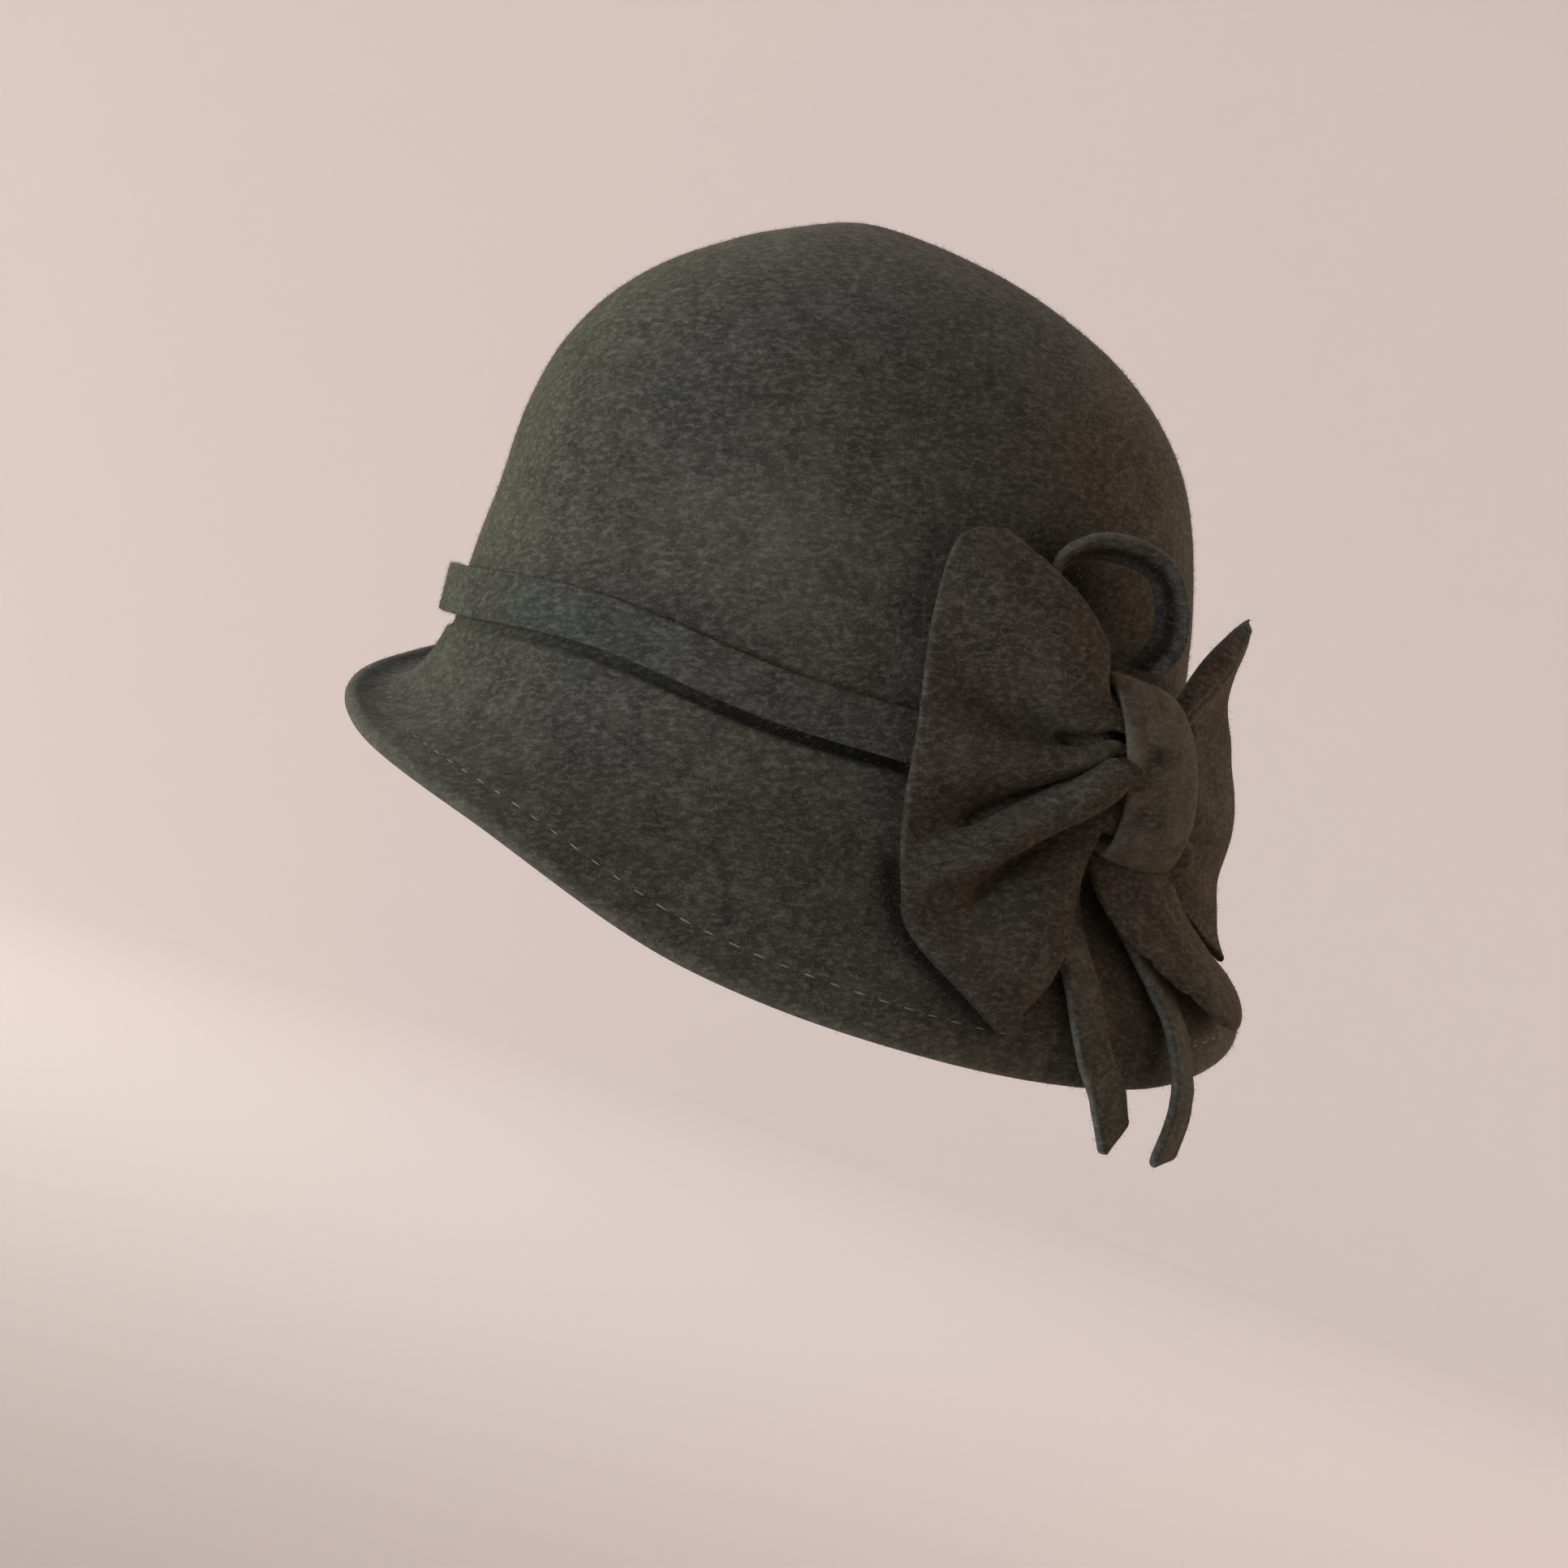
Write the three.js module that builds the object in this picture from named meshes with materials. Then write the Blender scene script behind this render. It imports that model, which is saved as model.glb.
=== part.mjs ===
// A soft cloche hat of blocked wool felt, with a felt band and a felt bow on the wearer's left.
// Millimetres, +Z up. The origin is the middle of the head opening at the height of the band,
// the front of the hat faces -Y and the wearer's left side is +X.
// A direction is an angle in degrees, measured from the front towards the wearer's left.
import * as THREE from "three";

// Driving dimensions
const FELT = 2.4; // thickness of the felt everywhere
const HEAD_OVAL = 2.15; // exponent of the head oval, where 2 is an ellipse
const BAND_WIDTH = 12.6; // the width of the narrow strip, in the band and the tails
const BAND_GAP = 1.2; // air between the crown and the band
const BRIM_EASE = 0.42; // length of the flare's two handles, as a share of the brim's chord
const TUCK = 4; // degrees that a leaf's gathered end goes into the knot
// The knot's mouths, its place and its size. lean is how far it slants, in degrees for each
// millimetre of height.
const KNOT = {
  from: 109.7, to: 122.8, lean: 0.2, middle: 7, halfHeight: 20.5, off: 14.9, halfDepth: 9.3,
};

// How finely each piece is divided
const AROUND = 48;
const CROWN_ROWS = 12;
const BRIM_ROWS = 9;
const LEAF_STEPS = 8;
const LEAF_ROWS_PER_FOLD = 3;
const KNOT_STEPS = 24;
const KNOT_ACROSS = 3;
const STRIP_STEPS = 16;

// The crown, one row per level section from the band to the tip.
const CROWN = [
  { z: 0, halfLength: 99.8, halfWidth: 84, shift: 0 },
  { z: 25, halfLength: 97.6, halfWidth: 83, shift: -1.2 },
  { z: 50, halfLength: 94.5, halfWidth: 80, shift: -4 },
  { z: 72, halfLength: 88, halfWidth: 74, shift: -5 },
  { z: 92, halfLength: 76, halfWidth: 64, shift: -4.5 },
  { z: 108, halfLength: 57, halfWidth: 48, shift: -4.5 },
  { z: 117.5, halfLength: 37, halfWidth: 31, shift: -8 },
  { z: 123, halfLength: 16, halfWidth: 14, shift: -16 },
  { z: 124, halfLength: 0, halfWidth: 0, shift: -20 },
];

// The brim, one row for each 30 degrees round the hat, starting at the front. band is the height
// of the band's middle, out and z give the edge, and lip is the slope there: 0 hangs straight
// down, 90 lies flat and more turns up.
const BRIM_STEP = 30;
const BRIM = [
  { band: -0.7, out: 22, z: -36, lip: 100 }, // front
  { band: 2, out: 28, z: -48.5, lip: 62 },
  { band: -1.9, out: 31, z: -66.5, lip: 34 },
  { band: -0.9, out: 35, z: -71, lip: 15 }, // wearer's left
  { band: 0, out: 37, z: -67, lip: -5 },
  { band: -1, out: 35.5, z: -53.5, lip: -15 },
  { band: -1, out: 34.5, z: -47, lip: 0 }, // back
  { band: 0, out: 30, z: -41, lip: 15 },
  { band: 1, out: 24, z: -27, lip: 50 },
  { band: 1, out: 18, z: -12, lip: 100 }, // wearer's right
  { band: 1, out: 16, z: -7.5, lip: 138 },
  { band: 0, out: 16, z: -22, lip: 135 },
];

// The bow's two leaves, one row per crest, crease or edge, from the top down. Each row is three
// places: at the knot's mouth, half way and at the outer edge. A place is a direction, a height
// and how far it stands off the hat.
const FRONT_LEAF = [
  { knot: [104.3, 23, 15], half: [101, 40, 15.5], edge: [83, 53.5, 8] }, // upper edge
  { knot: [105.9, 21.5, 17.5], half: [96, 31, 19.5], edge: [77.3, 46, 10] }, // crest of the upper lobe
  { knot: [106.8, 17.5, 20], half: [96, 19, 17.5], edge: [76.7, 29, 12] },
  { knot: [107.5, 14, 16.5], half: [99, 9.5, 11], edge: [77.8, 15, 13] }, // pocket
  { knot: [107.9, 11.8, 20], half: [98.5, 3.5, 17.5], edge: [79.2, 3, 13] }, // crest of the middle panel
  { knot: [108.2, 10.3, 19.5], half: [98.8, -1.5, 14.5], edge: [80.8, -11, 11] },
  { knot: [108.5, 8.6, 18.5], half: [100, -6.5, 7.5], edge: [82.8, -26, 7.5] }, // valley
  { knot: [108.9, 6.4, 21], half: [100.2, -10.2, 18], edge: [83, -36, 10] }, // crest of the pleat
  { knot: [109.3, 3, 20.3], half: [101.2, -16.5, 12.5], edge: [84, -43, 8] },
  { knot: [110, -1, 18.5], half: [102.5, -24, 9.5], edge: [86.5, -48, 6.5] }, // valley
  { knot: [110.8, -5, 18.5], half: [105, -29, 12.5], edge: [91.5, -55, 7.5] }, // lower panel
  { knot: [111.4, -8.5, 16], half: [108.6, -31, 11.8], edge: [95.7, -60.5, 7.8] }, // lower edge
];
const REAR_LEAF = [
  { knot: [120.2, 24.5, 15], half: [127.2, 44, 17.3], edge: [141.5, 55.5, 17] }, // upper edge
  { knot: [120.6, 22, 17.5], half: [126.5, 34.5, 19], edge: [135, 49.5, 19.3] }, // crest
  { knot: [121.8, 17, 17], half: [128.5, 25, 13], edge: [141, 34, 13] }, // pocket
  { knot: [122.8, 12, 17], half: [130, 15, 15.5], edge: [146, 19, 14] },
  { knot: [123.8, 7, 20], half: [131, 4, 20], edge: [145, 4, 18] }, // round bulge
  { knot: [124.9, 1.5, 16], half: [131.5, -6, 16.5], edge: [148, -10, 18] },
  { knot: [125.8, -3, 17.5], half: [132.5, -12, 15.5], edge: [148, -20, 16] },
  { knot: [126.4, -6, 16], half: [133.5, -17.5, 12], edge: [146, -31, 8] }, // lower edge
];

// The short leaf that shows under the knot, one row per fold from its front edge to its rear one.
const UNDER_LEAF = [
  { knot: [114, -16.9, 11], half: [117.5, -29, 11.6], edge: [123.5, -36.5, 10] }, // front edge
  { knot: [117, -16.9, 12.5], half: [121.5, -28, 13.2], edge: [127.5, -42, 9.2] },
  { knot: [120.8, -16.9, 13.5], half: [125.8, -26, 14.5], edge: [133.5, -46.5, 6.8] }, // crest
  { knot: [125, -16.9, 13.5], half: [130, -24, 15], edge: [138.5, -42, 6] },
  { knot: [129.5, -14.5, 14], half: [133, -23, 14.5], edge: [142, -35, 6] }, // rear edge
];

// The loop of narrow strip above the knot: its outer rim and its rim nearer the hat.
const LOOP = [
  { outer: [106, 31.5, 11], inner: [107, 31.5, 2] },
  { outer: [99, 38, 9], inner: [101, 38, 1.5] },
  { outer: [94.5, 50, 11], inner: [98, 47, 2.5] },
  { outer: [99, 58.5, 14], inner: [101.5, 53, 5] },
  { outer: [106, 61.5, 16.5], inner: [107.5, 55.5, 8] },
  { outer: [113, 59.5, 18.5], inner: [112.5, 54, 11] },
  { outer: [116.2, 51, 20.3], inner: [114.5, 48, 12.5] },
  { outer: [116.8, 40, 20.3], inner: [114.5, 40, 12.5] },
  { outer: [114.5, 31.5, 19], inner: [112, 32, 10] },
];

// The two free ends of the strip, from the knot down. turn twists the strip about its length.
const FRONT_TAIL = [
  { at: [113, -17, 7], turn: 0 },
  { at: [110.5, -32, 5], turn: 0 },
  { at: [109, -48, 4.5], turn: 0 },
  { at: [110, -60, 4.5], turn: 0 },
  { at: [113, -70, 5.5], turn: 0 },
  { at: [115.5, -80, 6.5], turn: 0 },
];
const REAR_TAIL = [
  { at: [124.5, -17, 5], turn: 0 },
  { at: [124, -30, 4.4], turn: 0 },
  { at: [123, -42, 4.8], turn: -4 },
  { at: [123, -56, 6], turn: -6 },
  { at: [123.8, -68, 8], turn: -6 },
  { at: [123.3, -83, 8], turn: -4 },
];
const TAIL_SLANT = 3; // how much shorter one side of a tail's cut end is

const radians = THREE.MathUtils.degToRad;

/** A smooth curve through four values, between the second and the third. */
function spline(a, b, c, d, t) {
  const slopeStart = (c - a) / 2;
  const slopeEnd = (d - b) / 2;
  const rise = c - b;
  return b + t * (slopeStart + t * (3 * rise - 2 * slopeStart - slopeEnd
    + t * (slopeStart + slopeEnd - 2 * rise)));
}

/** The value of read(row) at a place between the rows, where 0 is the first row. */
function alongRows(rows, place, read) {
  const i = Math.min(Math.floor(place), rows.length - 2);
  const [b, c] = [read(rows[i]), read(rows[i + 1])];
  const a = i > 0 ? read(rows[i - 1]) : 2 * b - c;
  const d = i + 2 < rows.length ? read(rows[i + 2]) : 2 * c - b;
  return spline(a, b, c, d, place - i);
}

/** The value of one column of the brim table in any direction. */
function aroundBrim(column, direction) {
  const place = ((direction % 360) + 360) % 360 / BRIM_STEP;
  const i = Math.floor(place);
  const value = (k) => BRIM[(k + BRIM.length) % BRIM.length][column];
  return spline(value(i - 1), value(i), value(i + 1), value(i + 2), place - i);
}

/** A crown section at a place between the rows of the table. */
function crownSection(place) {
  const column = (name) => alongRows(CROWN, place, (row) => row[name]);
  return {
    z: column("z"),
    halfLength: Math.max(column("halfLength"), 0),
    halfWidth: Math.max(column("halfWidth"), 0),
    shift: column("shift"),
  };
}

/** The point that lies a distance from the axis, in a direction, at a height. */
function polar(direction, distance, z) {
  const angle = radians(direction);
  return new THREE.Vector3(Math.sin(angle) * distance, -Math.cos(angle) * distance, z);
}

/** How far the head oval reaches in a direction. */
function ovalReach(section, direction) {
  const unit = polar(direction, 1, 0);
  const across = Math.abs(unit.x / section.halfWidth) ** HEAD_OVAL;
  const along = Math.abs(unit.y / section.halfLength) ** HEAD_OVAL;
  return (across + along) ** (-1 / HEAD_OVAL);
}

const bandBottom = (direction) => aroundBrim("band", direction) - BAND_WIDTH / 2;

/** The brim's outside, from the band's lower edge (0) to the brim's edge (1). */
function brimPoint(direction, place) {
  const reach = ovalReach(CROWN[0], direction);
  const top = bandBottom(direction);
  const out = aroundBrim("out", direction);
  const low = aroundBrim("z", direction);
  const lip = radians(aroundBrim("lip", direction));
  const handle = BRIM_EASE * Math.hypot(out, low - top);
  const flare = new THREE.CubicBezierCurve(
    new THREE.Vector2(0, top),
    new THREE.Vector2(0, top - handle),
    new THREE.Vector2(out - handle * Math.sin(lip), low + handle * Math.cos(lip)),
    new THREE.Vector2(out, low),
  ).getPoint(place);
  return polar(direction, reach + flare.x, flare.y);
}

/** The outside of the crown in a direction, at a place between the rows of its table. */
function crownPoint(direction, place) {
  const section = crownSection(place);
  if (section.halfLength === 0) return new THREE.Vector3(0, section.shift, section.z);
  const point = polar(direction, ovalReach(section, direction), section.z);
  point.y += section.shift;
  return point;
}

/** Halves an interval until test changes sign inside a very short one. */
function bisect(low, high, test) {
  for (let i = 0; i < 40; i++) {
    const middle = (low + high) / 2;
    if (test(middle)) high = middle;
    else low = middle;
  }
  return (low + high) / 2;
}

/** How far the hat's outside is from the axis, in a direction and at a height. */
function hatReach(direction, z) {
  if (z >= 0) {
    const section = crownSection(bisect(0, CROWN.length - 1, (t) => crownSection(t).z > z));
    const unit = polar(direction, 1, 0);
    return bisect(0, 150, (reach) => {
      const across = Math.abs(unit.x * reach / section.halfWidth) ** HEAD_OVAL;
      const along = Math.abs((unit.y * reach - section.shift) / section.halfLength) ** HEAD_OVAL;
      return across + along > 1;
    });
  }
  if (z >= bandBottom(direction)) return ovalReach(CROWN[0], direction);
  const place = bisect(0, 1, (t) => brimPoint(direction, t).z < z);
  const point = brimPoint(direction, place);
  return Math.hypot(point.x, point.y);
}

/** The point at a direction and a height that stands off the hat. */
function onHat([direction, z, off]) {
  return polar(direction, hatReach(direction, z) + off, z);
}

/** Numbers from start to end, both included. */
function steps(start, end, count) {
  return Array.from({ length: count + 1 }, (_, i) => start + (end - start) * i / count);
}

/**
 * Makes a closed felt solid from a grid of points on one surface. front and back are how far the
 * two faces lie from it, along its normal. A loop joins its last row to its first.
 */
function feltSolid(grid, { front = FELT / 2, back = FELT / 2, loop = false } = {}) {
  const rows = grid.length;
  const columns = grid[0].length;
  const rowAt = (i) => (loop ? (i + rows) % rows : Math.min(Math.max(i, 0), rows - 1));
  const faces = grid.map((row, i) => row.map((point, j) => {
    const alongRow = new THREE.Vector3().subVectors(
      row[Math.min(j + 1, columns - 1)], row[Math.max(j - 1, 0)]);
    const acrossRows = new THREE.Vector3().subVectors(
      grid[rowAt(i + 1)][j], grid[rowAt(i - 1)][j]);
    const normal = new THREE.Vector3().crossVectors(alongRow, acrossRows).normalize();
    return [point.clone().addScaledVector(normal, front), point.clone().addScaledVector(normal, -back)];
  }));
  const positions = faces.flat(2).flatMap((point) => point.toArray());
  const index = (i, j, side) => 2 * (rowAt(i) * columns + j) + side;
  const triangles = [];
  const quad = (a, b, c, d) => triangles.push(a, b, c, a, c, d);
  const lastRow = loop ? rows : rows - 1;
  for (let i = 0; i < lastRow; i++) {
    for (let j = 0; j < columns - 1; j++) {
      quad(index(i, j, 0), index(i, j + 1, 0), index(i + 1, j + 1, 0), index(i + 1, j, 0));
      quad(index(i, j, 1), index(i + 1, j, 1), index(i + 1, j + 1, 1), index(i, j + 1, 1));
    }
    quad(index(i, 0, 0), index(i + 1, 0, 0), index(i + 1, 0, 1), index(i, 0, 1));
    const end = columns - 1;
    quad(index(i, end, 0), index(i, end, 1), index(i + 1, end, 1), index(i + 1, end, 0));
  }
  if (!loop) {
    for (let j = 0; j < columns - 1; j++) {
      const end = rows - 1;
      quad(index(0, j, 0), index(0, j, 1), index(0, j + 1, 1), index(0, j + 1, 0));
      quad(index(end, j, 0), index(end, j + 1, 0), index(end, j + 1, 1), index(end, j, 1));
    }
  }
  const geometry = new THREE.BufferGeometry();
  geometry.setAttribute("position", new THREE.Float32BufferAttribute(positions, 3));
  geometry.setIndex(triangles);
  geometry.computeVertexNormals();
  return geometry;
}

/** The crown and brim: a shell that is open below, closed at its tip by one point on each face. */
function feltBody() {
  const directions = steps(0, 360, AROUND).slice(0, -1);
  const brim = steps(1, 0, BRIM_ROWS).map((t) => directions.map((d) => brimPoint(d, t)));
  const crown = steps(0, CROWN.length - 1, CROWN_ROWS).slice(0, -1)
    .map((t) => directions.map((d) => crownPoint(d, t)));
  const outside = [...brim, ...crown];
  const tip = crownPoint(0, CROWN.length - 1);
  const inside = outside.map((row, i) => row.map((point, j) => {
    const around = new THREE.Vector3().subVectors(
      row[(j + 1) % AROUND], row[(j + AROUND - 1) % AROUND]);
    const up = new THREE.Vector3().subVectors(
      outside[i + 1]?.[j] ?? tip, outside[Math.max(i - 1, 0)][j]);
    const normal = new THREE.Vector3().crossVectors(around, up).normalize();
    return point.clone().addScaledVector(normal, -FELT);
  }));
  const rows = [...outside.toReversed(), ...inside];
  const points = rows.flat();
  const [tipOutside, tipInside] = [points.length, points.length + 1];
  points.push(tip, tip.clone().setZ(tip.z - FELT));
  const triangles = [];
  for (let j = 0; j < AROUND; j++) {
    const next = (j + 1) % AROUND;
    triangles.push(tipOutside, j, next);
    for (let i = 0; i < rows.length - 1; i++) {
      const [row, below] = [i * AROUND, (i + 1) * AROUND];
      triangles.push(row + j, below + j, below + next, row + j, below + next, row + next);
    }
    const last = (rows.length - 1) * AROUND;
    triangles.push(tipInside, last + next, last + j);
  }
  const geometry = new THREE.BufferGeometry();
  geometry.setAttribute("position",
    new THREE.Float32BufferAttribute(points.flatMap((point) => point.toArray()), 3));
  geometry.setIndex(triangles);
  geometry.computeVertexNormals();
  return geometry;
}

/** The band: a narrow strip that stands round the crown. */
function hatBand() {
  const middle = BAND_GAP + FELT / 2;
  const grid = steps(0, 360, AROUND).slice(0, -1).map((direction) => {
    const reach = ovalReach(CROWN[0], direction) + middle;
    const z = aroundBrim("band", direction);
    return [BAND_WIDTH / 2, -BAND_WIDTH / 2].map((rise) => polar(direction, reach, z + rise));
  });
  return feltSolid(grid, { loop: true });
}

/** A leaf of the bow: a sheet drawn through its fold lines, with its gathered end in the knot. */
function bowLeaf(folds, tuck = 0) {
  const count = (folds.length - 1) * LEAF_ROWS_PER_FOLD;
  const grid = steps(0, folds.length - 1, count).map((place) => {
    const [knot, half, edge] = ["knot", "half", "edge"].map((name) =>
      [0, 1, 2].map((k) => alongRows(folds, place, (fold) => fold[name][k])));
    const leaf = steps(0, 1, LEAF_STEPS).map((t) => {
      const weights = [(1 - t) * (1 - 2 * t), 4 * t * (1 - t), t * (2 * t - 1)];
      return onHat([0, 1, 2].map((k) =>
        weights[0] * knot[k] + weights[1] * half[k] + weights[2] * edge[k]));
    });
    return tuck ? [onHat([knot[0] + tuck, knot[1], knot[2]]), ...leaf] : leaf;
  });
  return feltSolid(grid);
}

/** The wrap round the middle of the bow: a short tube, with the leaves' ends inside it. */
function bowKnot() {
  const grid = steps(0, 360, KNOT_STEPS).slice(0, -1).map((turn) => {
    const angle = radians(turn);
    const z = KNOT.middle + KNOT.halfHeight * Math.sin(angle);
    const off = KNOT.off + KNOT.halfDepth * Math.cos(angle);
    const slant = KNOT.lean * (KNOT.middle - z);
    return steps(KNOT.from, KNOT.to, KNOT_ACROSS)
      .map((direction) => onHat([direction + slant, z, off]));
  });
  return feltSolid(grid, { loop: true });
}

/** The ribbon loop above the knot. */
function bowLoop() {
  const grid = steps(0, LOOP.length - 1, STRIP_STEPS).map((place) =>
    ["outer", "inner"].map((rim) =>
      onHat([0, 1, 2].map((k) => alongRows(LOOP, place, (row) => row[rim][k])))));
  return feltSolid(grid);
}

/** A free end of the strip, hanging from the knot over the brim. */
function bowTail(rows) {
  const path = steps(0, rows.length - 1, STRIP_STEPS).map((place) => ({
    point: onHat([0, 1, 2].map((k) => alongRows(rows, place, (row) => row.at[k]))),
    direction: alongRows(rows, place, (row) => row.at[0]),
    turn: radians(alongRows(rows, place, (row) => row.turn)),
  }));
  const grid = path.map(({ point, direction, turn }, i) => {
    const before = path[Math.max(i - 1, 0)].point;
    const after = path[Math.min(i + 1, path.length - 1)].point;
    const down = new THREE.Vector3().subVectors(after, before).normalize();
    const side = polar(direction + 90, 1, 0);
    const width = side.multiplyScalar(Math.cos(turn))
      .addScaledVector(polar(direction, 1, 0), Math.sin(turn));
    width.addScaledVector(down, -width.dot(down)).normalize();
    const slant = i === path.length - 1 ? TAIL_SLANT : 0;
    return [-0.5, 0.5].map((share) => point.clone()
      .addScaledVector(width, share * BAND_WIDTH)
      .addScaledVector(down, (share < 0 ? 0 : -slant)));
  });
  return feltSolid(grid);
}

const felt = (color) => new THREE.MeshStandardMaterial({ color, roughness: 0.95, metalness: 0 });

/** Puts one named piece into the hat. */
function add(name, geometry, color) {
  const mesh = new THREE.Mesh(geometry, felt(color));
  mesh.name = name;
  hat.add(mesh);
}

const hat = new THREE.Group();
add("felt_body", feltBody(), 0x47463c);
add("hat_band", hatBand(), 0x44443c);
add("bow_leaf_front", bowLeaf(FRONT_LEAF, TUCK), 0x474137);
add("bow_leaf_rear", bowLeaf(REAR_LEAF, -TUCK), 0x474137);
add("bow_leaf_under", bowLeaf(UNDER_LEAF), 0x45443a);
add("bow_knot", bowKnot(), 0x4a4238);
add("bow_loop", bowLoop(), 0x3c3f39);
add("bow_tail_front", bowTail(FRONT_TAIL), 0x45443a);
add("bow_tail_rear", bowTail(REAR_TAIL), 0x45443a);

export default hat;
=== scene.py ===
# %% [markdown]
# # A felt cloche hat with a felt bow
# The hat is one hood of wool felt, blocked to shape, with a narrow felt band and a large bow of
# folded felt on the wearer's left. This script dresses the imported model: every piece of felt is
# built again with its folds, its rounded edges, its stitches and its nap.
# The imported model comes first, because every later piece is placed by it and rides on it.

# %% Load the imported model
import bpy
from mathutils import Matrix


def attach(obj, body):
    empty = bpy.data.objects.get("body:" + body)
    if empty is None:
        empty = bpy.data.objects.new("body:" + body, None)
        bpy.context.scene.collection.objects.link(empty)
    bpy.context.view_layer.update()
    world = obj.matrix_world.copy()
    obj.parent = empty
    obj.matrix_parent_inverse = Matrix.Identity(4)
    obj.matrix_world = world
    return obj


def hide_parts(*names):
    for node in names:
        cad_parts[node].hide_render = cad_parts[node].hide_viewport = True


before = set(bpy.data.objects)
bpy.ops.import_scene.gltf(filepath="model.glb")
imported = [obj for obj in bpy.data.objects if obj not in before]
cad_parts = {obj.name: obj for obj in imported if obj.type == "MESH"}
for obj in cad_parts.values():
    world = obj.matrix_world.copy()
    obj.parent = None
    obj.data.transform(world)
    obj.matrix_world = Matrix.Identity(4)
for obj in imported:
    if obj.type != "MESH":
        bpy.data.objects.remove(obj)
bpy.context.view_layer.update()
print("packed nodes:", sorted(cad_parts))

# %% [markdown]
# ## Tools for nodes, colours and meshes
# Sizes are written in millimetres, as a milliner would, and turned to metres when a mesh is made.
# Materials and Geometry Nodes trees are built in code, so one small function adds a node with its
# settings and links. Colours are written as sRGB hex values, because that is how a colour is
# picked, and one function turns them to the linear values that the renderer adds up.

# %% Node, colour and mesh tools
import math

import bmesh
import bpy
import numpy as np
from mathutils import Matrix, Vector, noise

MM = 0.001


def linear(hex_colour):
    """A linear RGBA colour from an sRGB hex value."""
    parts = [(hex_colour >> shift & 255) / 255 for shift in (16, 8, 0)]
    return [p / 12.92 if p <= 0.04045 else ((p + 0.055) / 1.055) ** 2.4 for p in parts] + [1.0]


def add_node(tree, kind, links=None, **settings):
    """Adds a node. Its settings are attributes; links gives each input a socket or a value."""
    node = tree.nodes.new(kind)
    for name, value in settings.items():
        setattr(node, name, value)
    for key, value in (links or {}).items():
        if isinstance(value, bpy.types.NodeSocket):
            tree.links.new(value, node.inputs[key])
        else:
            node.inputs[key].default_value = value
    return node


def unit(vectors):
    """The vectors at length one."""
    return vectors / np.maximum(np.linalg.norm(vectors, axis=-1, keepdims=True), 1e-12)


def mesh_object(name, points, faces, material, edge=None):
    """A smooth mesh object from points in millimetres, with a number at each point: above 0 paler
    for rubbing and a painted sheen, below 0 painted shade.
    """
    mesh = bpy.data.meshes.new(name)
    mesh.from_pydata((np.asarray(points) * MM).tolist(), [], faces)
    mesh.polygons.foreach_set("use_smooth", [True] * len(mesh.polygons))
    wear_and_painted_light = mesh.attributes.new("edge", "FLOAT", "POINT")
    wear_and_painted_light.data.foreach_set("value", np.zeros(len(points)) if edge is None else edge)
    mesh.materials.append(material)
    piece = bpy.data.objects.new(name, mesh)
    bpy.context.scene.collection.objects.link(piece)
    print(f"{name}: {len(points)} points, {len(faces)} faces")
    return piece


def unevenness(points, size, height, seed):
    """A soft random height at each point, for felt that no hand leaves perfectly even."""
    shift = Vector((seed * 7.3, seed * 3.1, seed * 5.7))
    values = [noise.noise(Vector(p) / size + shift) for p in points.reshape(-1, 3)]
    return height * np.array(values).reshape(points.shape[:-1])


print("a middle grey in linear values:", [round(value, 3) for value in linear(0x808080)])

# %% [markdown]
# ## The felt material
# The felt is wool that was dyed dark olive, matted and brushed. To the eye it is very matt, a
# little lighter where its nap is seen from the side, and full of short fibres, some paler and
# some nearly black. It could be painted on an image, but noise at the size of real fibres holds
# up at any distance. A fleck is a lock of fibres, about two and a half millimetres long and half
# as high, and the flecks lie a little askew, as the felt was rolled. Felt that hands rub turns
# paler, and cut edges are painted paler still as a sheen. Shade in creases, gaps and hollows is
# painted dark into the colour, so each mesh carries one number for its rubbing, its painted
# sheen and its painted shade.
# One function makes it, because the hood, the strip and the bow are the same felt under slightly
# different dye lots.

# %% Make the felts
FLECK_LENGTH = 2.4  # mm, along the felt
FLECK_HEIGHT = 1.15  # mm
GRAIN_TURN = 18.0  # degrees, how far the grain runs askew
GRAIN_AXIS = (0.906, -0.423, 0)  # level, out through the hat's left side, a little to the front
MOTTLE = 9.0  # mm, clouds where the wool was thicker
DYE = 70.0  # mm, slow change of the dye
NAP_DEPTH = 0.35  # mm, height of the surface fibres
PAINTED_SHADE = 0x0B0C0B  # painted shade: near black, for where shadow falls in creases and gaps


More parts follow.
